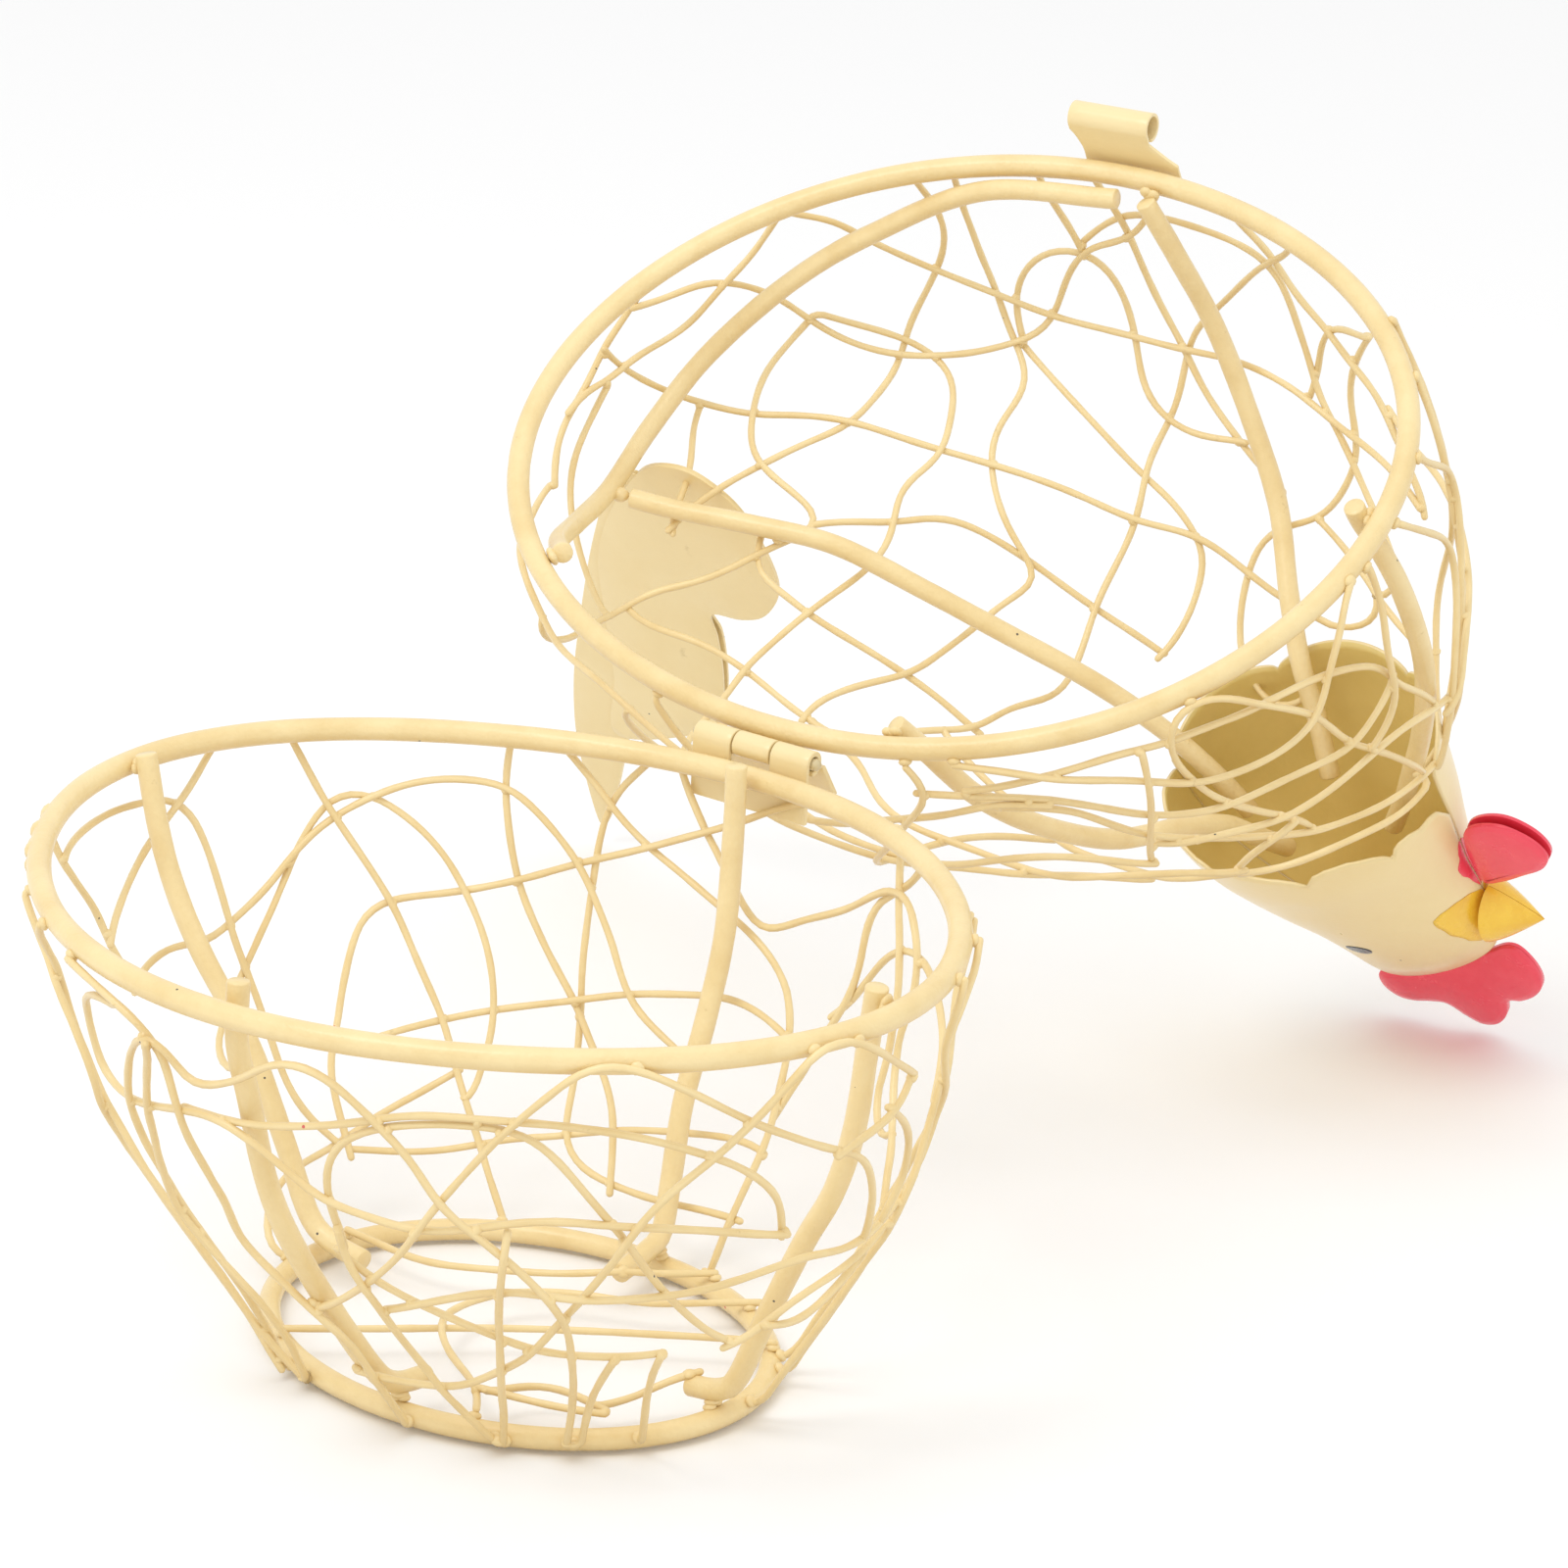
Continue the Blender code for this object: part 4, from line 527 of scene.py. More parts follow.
IVORY = (0.895, 0.715, 0.375)
IVORY_DARK = (0.820, 0.620, 0.290)
# each coat below sets its own amount of painted shade in creases and on faces that look down
ROD = coat("ivory_rod_coat", IVORY, IVORY_DARK, rough=0.34, bump=0.32, underside_shade=0.65)
WIRE = coat("ivory_wire_coat", IVORY, IVORY_DARK, rough=0.36, bump=0.15, underside_shade=0.75)
SHEET_COAT = coat("ivory_sheet_coat", (0.890, 0.730, 0.400), (0.850, 0.670, 0.330),
                  rough=0.30, bump=0.12, scale=25, underside_shade=0.30)
# inner faces of the head shells: a yellower, darker coat, partly their own tone and partly painted
# shade of the hollow neck
NECK_INNER_TONE_AND_SHADE = coat("neck_inner_coat_and_shade", (0.860, 0.680, 0.260), (0.740, 0.580, 0.200),
                  rough=0.34, bump=0.14, scale=22, specks=False, underside_shade=0.35)
PIN = coat("hinge_pin_coat", (0.70, 0.58, 0.33), (0.50, 0.42, 0.25), rough=0.30, bump=0.2,
           scale=160)
RED = coat("red_enamel", (0.93, 0.075, 0.120), (0.86, 0.045, 0.085), rough=0.20, bump=0.10,
           specks=False, underside_shade=0.10, rub=0.12, crease_shade=0.15)
YELLOW = coat("yellow_enamel", (0.93, 0.60, 0.055), (0.84, 0.47, 0.03), rough=0.22, bump=0.10,
              scale=90, specks=False, underside_shade=0.1, rub=0.15)
EYE = coat("eye_paint", (0.035, 0.045, 0.060), (0.02, 0.025, 0.035), rough=0.25, bump=0.05,
           scale=200, specks=False)


# --------------------------------------------------------------------------- mesh tools
def solidify(thickness, offset=0.0, **more):
    return "solidify", "SOLIDIFY", dict(thickness=thickness, offset=offset, **more)


def bevel(width, name="bevel"):
    return name, "BEVEL", dict(width=width, segments=2, limit_method="ANGLE",
                               angle_limit=math.radians(50))


def add_object(name, mesh, body, nodes=(), modifiers=()):
    ob = bpy.data.objects.new(name, mesh)
    bpy.context.scene.collection.objects.link(ob)
    for label, kind, settings in modifiers:
        modifier = ob.modifiers.new(label, kind)
        for key, value in settings.items():
            setattr(modifier, key, value)
    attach(ob, body)
    if nodes:
        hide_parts(*nodes)


def cell(i, j, width):
    """The face at row i, column j of a grid with width points in a row."""
    first = i * width + j
    return (first, first + 1, first + width + 1, first + width)


class Shape:
    """Collects vertices (design millimetres) and faces for one piece."""

    def __init__(self):
        self.vertices, self.faces = [], []

    def add(self, vertices, faces):
        start = len(self.vertices)
        self.vertices.extend(map(tuple, vertices))
        self.faces.extend(tuple(i + start for i in face) for face in faces)

    def add_used(self, vertices, faces):
        """Add only the vertices that the faces use."""
        used = sorted({i for face in faces for i in face})
        index = {old: new for new, old in enumerate(used)}
        self.add([vertices[i] for i in used], [tuple(index[i] for i in q) for q in faces])

    def piece(self, name, body, materials, slot, nodes=(), smooth=60.0, recalc=True, modifiers=()):
        mesh = bpy.data.meshes.new(name)
        mesh.from_pydata([tuple(p) for p in place(self.vertices, body)], [], self.faces)
        for material in materials:
            mesh.materials.append(material)
        mesh.polygons.foreach_set("material_index", [0] * len(self.faces))
        if recalc:
            bm = bmesh.new()
            bm.from_mesh(mesh)
            bmesh.ops.recalc_face_normals(bm, faces=bm.faces)
            bm.to_mesh(mesh)
            bm.free()
        mesh.shade_smooth()
        mesh.set_sharp_from_angle(angle=math.radians(smooth))
        add_object(name, mesh, body, nodes, modifiers)


def unit(v, guard=0.0):
    return v / (np.linalg.norm(v) + guard)


def off_axis(n):
    """An axis well away from the direction n."""
    return np.array((0, 0, 1.0)) if abs(n[2]) < 0.8 else np.array((1.0, 0, 0))


def cross_sections(p, closed):
    """Directions along the path and two square to it; a closed path is kept upright."""
    t = (np.roll(p, -1, 0) - np.roll(p, 1, 0)) if closed else np.gradient(p, axis=0)
    t /= np.linalg.norm(t, axis=1)[:, None] + 1e-12
    if closed:
        up = np.array((0, 0, 1.0))
        u = up[None] - t * (t @ up)[:, None]
        u /= np.linalg.norm(u, axis=1)[:, None] + 1e-12
        return t, u, np.cross(t, u)
    u = np.zeros_like(p)
    axis = off_axis(t[0])
    u[0] = unit(axis - t[0] * (axis @ t[0]))
    for i in range(1, len(p)):
        u[i] = unit(u[i - 1] - t[i] * (u[i - 1] @ t[i]), 1e-12)
    return t, u, np.cross(t, u)


# how an open bar ends: (distance beyond the end, share of the radius), both times the radius
DOMED = ((0.52, 0.86), (0.86, 0.52), (0.98, 0.18))
CUT = ((0.10, 0.97), (0.16, 0.88))


def tube(shape, p, r, sides, closed=False, ends=DOMED):
    """A round bar along p. r may vary."""
    p = np.asarray(p, float)
    r = np.broadcast_to(np.asarray(r, float), (len(p),)).copy()
    t, u, v = cross_sections(p, closed)
    angles = np.linspace(0, 2 * math.pi, sides, endpoint=False)
    c, s = np.cos(angles)[None, :, None], np.sin(angles)[None, :, None]
    if not closed:
        n = len(ends)
        first = [p[0] - t[0] * r[0] * d for d, _ in ends][::-1]
        last = [p[-1] + t[-1] * r[-1] * d for d, _ in ends]
        p = np.concatenate([first, p, last])
        r = np.concatenate([[r[0] * k for _, k in ends][::-1], r, [r[-1] * k for _, k in ends]])
        u = np.concatenate([[u[0]] * n, u, [u[-1]] * n])
        v = np.concatenate([[v[0]] * n, v, [v[-1]] * n])
    rings = p[:, None] + r[:, None, None] * (c * u[:, None] + s * v[:, None])
    n = len(p)
    faces = []
    for i in range(n if closed else n - 1):
        j = (i + 1) % n
        for k in range(sides):
            q = (k + 1) % sides
            faces.append((i * sides + k, i * sides + q, j * sides + q, j * sides + k))
    if not closed:
        faces.append(tuple(range(sides))[::-1])
        faces.append(tuple((n - 1) * sides + k for k in range(sides)))
    shape.add(rings.reshape(-1, 3), faces)


def unit_ball():
    bm = bmesh.new()
    bmesh.ops.create_icosphere(bm, subdivisions=2, radius=1.0)
    vertices = np.array([v.co for v in bm.verts])
    faces = [tuple(v.index for v in f.verts) for f in bm.faces]
    bm.free()
    return vertices, faces


BALL_VERTICES, BALL_FACES = unit_ball()


def blob(shape, centre, n, r_along, r_across):
    """A small lump of coat: an ellipsoid with its axis along n."""
    n = np.asarray(n, float)
    if np.linalg.norm(n) < 1e-6:      # two wires that meet at one point
        n = np.array((0, 0, 1.0))
    n = unit(n)
    u = unit(np.cross(n, off_axis(n)))
    w = np.cross(n, u)
    ball = BALL_VERTICES
    v = ball[:, :1] * u * r_across + ball[:, 1:2] * w * r_across + ball[:, 2:] * n * r_along
    shape.add(np.asarray(centre) + v, BALL_FACES)


def lumpy(p, r, seed, amount, wave):
    """Slow uneven thickness along a bar, from a few sines."""
    d = arc_length(p)
    k = 2 * math.pi / wave
    return r * (1 + amount * (0.5 * np.sin(k * d + seed) + 0.3 * np.sin(2.3 * k * d + 2.1 * seed)
                              + 0.2 * np.sin(5.1 * k * d + 0.7 * seed)))


# --------------------------------------------------------------- rim, base and rib rods
# lumps on the bowl rim's outer side: degrees round, height, radius
RIM_LUMPS = ((199, -1.0, 2.0), (202, -0.2, 2.3), (205.5, -1.2, 2.1), (208.5, 0.0, 2.2),
             (212, -0.9, 1.9), (215, -0.3, 2.1), (218, -1.4, 1.8), (196, -1.6, 1.7))


def ring_shape(ring, r, seed):
    count = 300
    shape = Shape()
    t = np.linspace(0, 2 * math.pi, count, endpoint=False)
    radii = r * (1 + 0.010 * np.sin(7 * t + seed) + 0.008 * np.sin(19 * t + 2 * seed))
    # the butt weld, ground almost flush
    radii *= 1 - 0.035 * np.exp(-((t - 1.1 - seed) / 0.010) ** 2)
    tube(shape, ring_points(ring, count), np.minimum(radii, r * 1.01), 20, closed=True)
    return shape


bowl_rim = ring_shape(bowl_rim_point, RIM_R, 0.4)
for degrees, z, radius in RIM_LUMPS:
    t = math.radians(degrees)
    outward = unit(np.array((math.cos(t), math.sin(t) * 1.2, 0)))
    blob(bowl_rim, np.array(bowl_rim_point(t)) + outward * 1.6 + (0, 0, z),
         outward + np.array((0, 0, 0.2)), radius * 0.82, radius)
bowl_rim.piece("bowl_rim_rod", "bowl", [ROD], "coated_rod", ["bowl_rim"])
ring_shape(lid_rim_point, RIM_R, 1.7).piece(
    "lid_rim_rod", "lid", [ROD], "coated_rod", ["lid_rim"])
ring_shape(base_point, BASE_R, 2.9).piece(
    "base_ring_rod", "bowl", [ROD], "coated_rod", ["base_ring"])


def ring_welds(control, ring, reach=6.5):
    """Lumps (centre, axis, radius along, radius across) where a rib lies against a ring."""
    ring = np.array(ring_points(ring, 720))
    rib = spline(control, 1.0)
    d = np.linalg.norm(rib[:, None] - ring[None], axis=2)
    i, j = np.unravel_index(d.argmin(), d.shape)
    if d[i, j] > reach:
        return []
    n = unit(ring[j] - rib[i])
    side = unit(np.cross(n, (0, 0, 1.0)), 1e-9)
    middle = rib[i] + n * (RIB_R + 0.1)
    return [(middle, n, 1.0, 1.9), (middle + side * 0.9 + (0, 0, -1.0), n, 0.9, 1.5),
            (middle - side * 0.9 + (0, 0, -0.6), n, 0.9, 1.4)]


def rib_pieces(ribs, body, rings, first_seed):
    for seed, (name, control) in enumerate(ribs.items(), first_seed):
        shape = Shape()
        p = spline(control, 2.0)
        tube(shape, p, lumpy(p, RIB_R, seed, 0.02, 31.0), 18, ends=CUT)
        welds = [weld for ring in rings for weld in ring_welds(control, ring)]
        if name == "lid_spine":     # its foot, on the hoop
            welds.append(((-92.0, 5.2, 141.0), (1, 0, 0), 2.2, 1.8))
        for weld in welds:
            blob(shape, *weld)
        shape.piece(name + "_rod", body, [ROD], "coated_rod", [name])


rib_pieces(BOWL_RIBS, "bowl", (bowl_rim_point, base_point), 0)
rib_pieces(LID_RIBS, "lid", (lid_rim_point,), 5)

# ------------------------------------------------------------------------- the wire mesh
DRAPE_STEP = 3.0        # spacing of points while a wire is laid
WIRE_STEP = 2.2         # spacing along the finished wires


def closed_ring(ring, count):
    return np.array(ring_points(ring, count) + [ring(0)])


def solids_for_wires():
    """Centre lines and radii of what the bowl's and the lid's wires have to pass over."""
    bowl = [(closed_ring(bowl_rim_point, 180), RIM_R), (closed_ring(base_point, 120), RIM_R)]
    bowl += [(spline(c, 2.0), RIB_R) for c in BOWL_RIBS.values()]
    lid = [(closed_ring(lid_rim_point, 180), RIM_R)]
    lid += [(spline(c, 2.0), RIB_R) for c in LID_RIBS.values()]
    for z in range(4, 14, 2):               # the hinge leaves' plates
        for sign, solids in ((-1, bowl), (1, lid)):
            ends = [hinge_point(x, -BEND_R, sign * z) for x in (-HINGE_HALF, HINGE_HALF)]
            solids.append((np.array(ends), LEAF_T / 2 + 0.3))
    for z in (104.0, 106.0, 108.0):         # the latch tab's root
        lid.append((np.array([(LATCH_X + x, -85.3, z) for x in (-12.5, 12.5)]), SHEET / 2 + 0.3))
    return bowl, lid


def skin_path(skin, control):
    """Waypoints become surface points with outward normals."""
    uv = spline(control, None)
    d = arc_length(np.array([skin(a, h) for a, h in uv]))
    count = max(4, int(round(d[-1] / DRAPE_STEP)) + 1)
    t = np.linspace(0, d[-1], count)
    uv = np.stack([np.interp(t, d, uv[:, k]) for k in range(2)], 1)
    for _ in range(5):     # springy wire takes no sharp kinks
        m = uv.copy()
        m[1:-1] = 0.25 * uv[:-2] + 0.5 * uv[1:-1] + 0.25 * uv[2:]
        uv = m
    points = np.array([skin(*q) for q in uv])
    if skin is floor_skin:
        return points, np.tile((0.0, 0.0, 1.0), (len(uv), 1))
    nudge = 0.01 if skin is lid_skin else 1.0
    normals = [unit(np.cross(skin(a + 1, h) - skin(a - 1, h),
                             skin(a, h + nudge) - skin(a, h - nudge)), 1e-9) for a, h in uv]
    return points, np.array(normals)


def needed_lift(base, normals, centres, clearance):
    """How far out along its normals a wire must move to clear the centres."""
    lift = np.zeros(len(base))
    if len(centres) == 0:
        return lift
    for _ in range(80):
        p = base + normals * lift[:, None]
        a, ab = p[:-1], p[1:] - p[:-1]
        d = centres[:, None, :] - a[None]
        t = np.clip((d * ab[None]).sum(2) / ((ab ** 2).sum(1)[None] + 1e-12), 0, 1)
        distance = np.linalg.norm(d - ab[None] * t[:, :, None], axis=2)
        short = (clearance[:, None] - distance).max(0)
        if short.max() <= 0:
            break
        add = np.zeros(len(lift))
        gain = np.where(short > 0, short * 0.7 + 0.03, 0)
        add[:-1] = gain
        add[1:] = np.maximum(add[1:], gain)
        lift += add
        # ease the neighbours so that the wire bends gently
        for _k in range(7):
            m = lift.copy()
            m[1:-1] = np.maximum(lift[1:-1], 0.485 * (lift[:-2] + lift[2:]))
            lift = m
    return lift


def drape(wires, solids):
    """Lay wires over the skins one after another: each passes over those
    already laid and over the rods, lifted only where it has to be."""
    rods = [(even(line, 1.2), r) for line, r in solids]
    obstacles = np.concatenate([line for line, _ in rods])
    radii = np.concatenate([np.full(len(line), r) for line, r in rods])
    laid = {}
    for name, (skin, control) in wires.items():
        base, normals = skin_path(skin, control)
        near = np.zeros(len(obstacles), bool)
        for q in base:
            near |= ((obstacles - q) ** 2).sum(1) < (DRAPE_STEP + 9.0) ** 2
        # the coats sink 0.30 into each other
        lift = needed_lift(base, normals, obstacles[near], radii[near] + WIRE_R - 0.30)
        for _ in range(3):
            lift[1:-1] = 0.25 * lift[:-2] + 0.5 * lift[1:-1] + 0.25 * lift[2:]
        laid[name] = base + normals * lift[:, None]
        q = even(laid[name], 1.0)
        obstacles = np.concatenate([obstacles, q])
        radii = np.concatenate([radii, np.full(len(q), WIRE_R)])
    return laid


def wire_tree(paths):
    """A search tree of all wire points, with the (wire, point number) of each."""
    tree = KDTree(sum(len(p) for p in paths.values()))
    owner = []
    for key, path in paths.items():
        for i, q in enumerate(path):
            tree.insert(q, len(owner))
            owner.append((key, i))
    tree.balance()
    return tree, owner


def tie_ends(paths, rods, cut, lead=True):
    """No wire ends in the air: a tail shorter than cut is cut back to the wire it
    crosses, and a longer one is led on to the nearest wire or rod ahead of it."""
    touch, reach, ahead = 2.3, 26.0, 0.45     # distances, and the least cosine to the heading
    tree, owner = wire_tree(paths)
    rod_points = np.concatenate([line for line, _ in rods])
    rod_radii = np.concatenate([np.full(len(line), r) for line, r in rods])

    def first_contact(key, path):
        for i, q in enumerate(path):
            if (np.linalg.norm(rod_points - q, axis=1) - rod_radii).min() < WIRE_R + 1.0:
                return i
            if any(owner[x][0] != key and d < touch for _, x, d in tree.find_range(q, touch)):
                return i
        return None

    def target_ahead(key, start, heading):
        best = None
        for co, x, d in tree.find_range(start, reach):
            if owner[x][0] == key:
                continue
            cosine = ((np.array(co) - start) @ heading) / (d + 1e-9)
            if cosine > ahead and d > 0.5:
                cost = d * (1.6 - cosine)
                if best is None or cost < best[0]:
                    best = (cost, np.array(co))
        v = rod_points - start
        d = np.linalg.norm(v, axis=1)
        for j in np.argwhere((d < reach) & ((v @ heading) / (d + 1e-9) > ahead))[:, 0]:
            cost = d[j] * (1.6 - (v[j] @ heading) / d[j])
            if best is None or cost < best[0]:
                best = (cost, rod_points[j] - v[j] / d[j] * (rod_radii[j] + 0.4))
        return None if best is None else best[1]

    tied = {}
    for key, path in paths.items():
        p = path.copy()
        for _end in range(2):
            p = p[::-1]
            hit = first_contact(key, p)
            if hit is not None and WIRE_STEP * hit <= cut:
                p = p[hit:]
                continue
            if not lead:
                continue
            heading = unit(p[0] - p[min(3, len(p) - 1)], 1e-9)
            end = target_ahead(key, p[0], heading)
            if end is not None:
                far = np.linalg.norm(end - p[0])
                arc = []
                for s in np.linspace(1, 0, max(3, int(far / WIRE_STEP) + 1), endpoint=False):
                    straight = p[0] + heading * far * s
                    arc.append(straight * (1 - s ** 1.5) + end * s ** 1.5)
                p = np.concatenate([arc, p])
            elif hit is not None:
                p = p[hit:]
        tied[key] = p if len(p) > 5 else path
    return tied


def crossings(paths):
    """For each wire, where later wires cross it: (middle, offset, distance)."""
    tree, owner = wire_tree(paths)
    rank = {key: i for i, key in enumerate(paths)}
    joins = {}
    for key, path in paths.items():
        best = {}
        for i, q in enumerate(path):
            for co, x, d in tree.find_range(q, 3.3):
                other, j = owner[x]
                if rank[other] <= rank[key]:
                    continue
                spot = (other, j // 4, i // 4)
                if spot not in best or d < best[spot][0]:
                    best[spot] = (d, q, np.array(co))
        kept = []
        for d, a, b in sorted(best.values(), key=lambda e: (e[0], tuple(e[1]))):
            middle = (a + b) / 2
            if d > 2.1 or any(np.linalg.norm(middle - c[0]) < 4.0 for c in kept):
                continue
            kept.append((middle, b - a, d))
        joins[key] = kept
    return joins


def rod_contacts(shape, path, line, r):
    """Lumps where the wire touches a rod."""
    distances = np.linalg.norm(path[:, None] - line[None], axis=2)
    near = distances.min(1)
    limit = r + WIRE_R + 0.95
    i = 0
    while i < len(path):
        if near[i] < limit:
            j = i
            while j + 1 < len(path) and near[j + 1] < limit:
                j += 1
            closest = i + int(near[i:j + 1].argmin())
            centre = line[distances[closest].argmin()]
            n = unit(path[closest] - centre, 1e-9)
            blob(shape, centre + n * (r + 0.30), n, 0.95, 1.45)
            i = j + 4
        else:
            i += 1


def wire_pieces(laid, solids, body, groups):
    """Smooth wires in a few groups (name, wires, nodes), with lumps at the crossings."""
    paths = {key: spline(p, WIRE_STEP) for key, p in laid.items()}
    rods = [(even(line, 1.0), r) for line, r in solids]
    paths = tie_ends(paths, rods, 15.0, lead=False)
    paths = tie_ends(paths, rods, 12.0)
    paths = tie_ends(paths, rods, 8.0)
    joins = crossings(paths)
    for name, keys, nodes in groups:
        shape = Shape()
        for key in keys:
            p = paths[key]
            seed = sum(map(ord, key)) * 0.37
            tube(shape, p, lumpy(p, WIRE_R, seed, 0.07, 17.0), 8)
            for middle, n, d in joins[key]:
                blob(shape, middle, n, d / 2 + 0.60, 1.05 + 0.08 * math.sin(middle[0] + middle[2]))
            for line, r in rods:
                if r >= 1.0:
                    rod_contacts(shape, p, line, r)
        shape.piece(name, body, [WIRE], "coated_wire", nodes, smooth=80)


def mesh_pieces():
    bowl_mesh = {key: (bowl_skin, c) for key, c in BOWL_WIRES.items()}
    bowl_mesh.update({key: (floor_skin, c) for key, c in FLOOR_WIRES.items()})
    lid_mesh = {key: (lid_skin, [(a, min(h, TOP_SHARE)) for a, h in c])
                for key, c in LID_WIRES.items()}
    bowl_solids, lid_solids = solids_for_wires()
    bowl_nodes = sorted(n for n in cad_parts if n.startswith("bowl_wire_"))
    lid_nodes = sorted(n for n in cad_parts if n.startswith("lid_wire_"))
    lid_keys = list(lid_mesh)

    def starting(letter):
        return [key for key in bowl_mesh if key[0] == letter]

    wire_pieces(drape(bowl_mesh, bowl_solids), bowl_solids, "bowl", [
        ("bowl_mesh_back", starting("b"), bowl_nodes[:6]),
        ("bowl_mesh_front", starting("f"), bowl_nodes[6:12]),
        ("bowl_mesh_head_end", starting("r"), bowl_nodes[12:14]),
        ("bowl_mesh_floor", starting("g"), bowl_nodes[14:])])
    wire_pieces(drape(lid_mesh, lid_solids), lid_solids, "lid", [
        ("lid_mesh_latch_side", lid_keys[:12], lid_nodes[:7]),
        ("lid_mesh_neck", lid_keys[12:24], lid_nodes[7:10]),
        ("lid_mesh_hinge_side", lid_keys[24:33], lid_nodes[10:12]),
        ("lid_mesh_far_side", lid_keys[33:], lid_nodes[12:])])


mesh_pieces()


# -------------------------------------------------------------------------------- hinge
def leaf_piece(name, sign, split, window, body, node):
    """A sheet leaf in three columns parted at x = +-split, its tongues rolled round the
    pin. The window columns are cut away near the pin."""
    path = [(-BEND_R, sign * z) for z in (LEAF_DROP, LEAF_DROP - 0.6, 10.0, 6.6, 3.6, 2.4, 1.4)]
    for k in range(36):
        a = math.pi + sign * math.radians(8.0 * k)
        path.append((BEND_R * math.cos(a), BEND_R * math.sin(a)))
    columns = (-HINGE_HALF, -split, split, HINGE_HALF)
    strips = 6
    xs = [a + (b - a) * k / strips for a, b in zip(columns, columns[1:]) for k in range(strips)]
    xs.append(columns[-1])
    shape = Shape()
    shape.add_used([hinge_point(x, y, z) for y, z in path for x in xs],
                   [cell(i, j, len(xs)) for i in range(len(path) - 1) for j in range(len(xs) - 1)
                    if i < 4 or j // strips not in window])
    shape.piece(name, body, [SHEET_COAT], "coated_sheet", [node], smooth=35, modifiers=(
        solidify(LEAF_T * MM * 0.97, use_even_offset=True), bevel(0.00022)))


leaf_piece("hinge_leaf_lower", -1, 5.05, (1,), "bowl", "hinge_leaf_bowl")
leaf_piece("hinge_leaf_upper", 1, 4.6, (0, 2), "lid", "hinge_leaf_lid")
pin = Shape()
tube(pin, [hinge_point(x, 0, 0) for x in np.linspace(-HINGE_HALF - 0.3, HINGE_HALF + 0.3, 30)],
     PIN_R, 20)
pin.piece("hinge_pin_bar", "bowl", [PIN], "hinge_pin", ["hinge_pin"])

# ---------------------------------------------------------------------------- latch tab
# the flat part: distance out from the root's plane, height
LATCH_FLAT = ((0, 108.0), (0, 106.0), (0, 104.0), (0.1, 102.5), (0.25, 101.0), (0.5, 98.5),
              (0.55, 97.4))
ROOT_W = 11.5                       # half width of the root
ROLL_X, ROLL_W = 1.7, 9.75          # middle and half width of the rolled end
ROLL_R, ROLL_Z = 2.9, 95.0          # radius of the roll; its axis
ROLL_Y = LATCH_Y - 0.6 - ROLL_R


def latch_tab():
    rows = []       # y, z, middle, half width
    for out, z in LATCH_FLAT:
        taper = max(0.0, min(1.0, (102.5 - z) / 5.5))
        rows.append((LATCH_Y - out, z, LATCH_X + (ROLL_X - LATCH_X) * taper,
                     ROOT_W + (ROLL_W - 0.6 - ROOT_W) * taper ** 0.7))
    rows.append((LATCH_Y - 0.58, 96.2, ROLL_X, ROLL_W))
    for degrees in range(0, 309, 7):
        a = -math.radians(degrees)
        rows.append((ROLL_Y + ROLL_R * math.cos(a), ROLL_Z + ROLL_R * math.sin(a),
                     ROLL_X, ROLL_W))
    shape = Shape()
    shape.add([(middle + half * s, y, z) for y, z, middle, half in rows
               for s in np.linspace(-1, 1, 9)],
              [cell(i, j, 9) for i in range(len(rows) - 1) for j in range(8)])
    shape.piece("latch_tab_sheet", "lid", [SHEET_COAT], "coated_sheet", ["latch_tab"],
                smooth=35, modifiers=(solidify(SHEET * MM * 0.97, use_even_offset=True),
                                      bevel(0.00015)))
    welds = Shape()
    for x in (-3.5, 1.0, 6.0, 11.0, 15.5):
        blob(welds, (x, LATCH_Y + 0.4, 107.0), (0, 1, 0), 0.9, 1.5)
    welds.piece("latch_tab_welds", "lid", [ROD], "coated_rod")


latch_tab()

# --------------------------------------------------------------------------------- head
# sections from the skirt up: back x, back z, front x, front z, half width, rise at the side
HEAD = np.array([
    (30, 206, 98, 189, 30.0, -4.0),
    (31, 211, 98.5, 195, 29.0, -1.0),
    (34, 221, 99.5, 204, 26.0, 0.0),
    (39, 231, 100, 212, 22.0, 0.5),
    (47, 240, 100.5, 219, 18.5, 1.0),
    (55, 247, 102, 226, 15.5, 1.5),
    (61, 254.5, 103, 233, 12.5, 2.0),
    (65.5, 262, 103.5, 240, 9.0, 3.0),
    (68, 267, 103, 245, 5.5, 4.0),
    (69.5, 269, 102.7, 248, 3.0, 5.0)])
SEAM = 0.16             # gap from the middle plane to each shell
PAINT_LIFT = 0.10       # paint above the shell
PAINT_T = 0.00012       # paint thickness, metres
# the left shell's scalloped lower edge: way round from the front seam (0) to the back
# seam (1), share of the way up; the right shell runs on down to the first section
LEFT_EDGE = [
    (0.0, 0.205), (0.016, 0.180), (0.035, 0.152), (0.063, 0.142), (0.102, 0.145), (0.133, 0.133),
    (0.165, 0.133), (0.185, 0.145), (0.196, 0.170), (0.210, 0.147), (0.235, 0.128), (0.290, 0.105),
    (0.340, 0.104), (0.375, 0.120), (0.400, 0.155), (0.420, 0.132), (0.450, 0.115), (0.500, 0.105),
    (0.560, 0.098), (0.600, 0.110), (0.620, 0.135), (0.640, 0.108), (0.700, 0.075), (0.800, 0.070),
    (0.830, 0.100), (0.850, 0.080), (0.900, 0.060), (1.0, 0.065)]
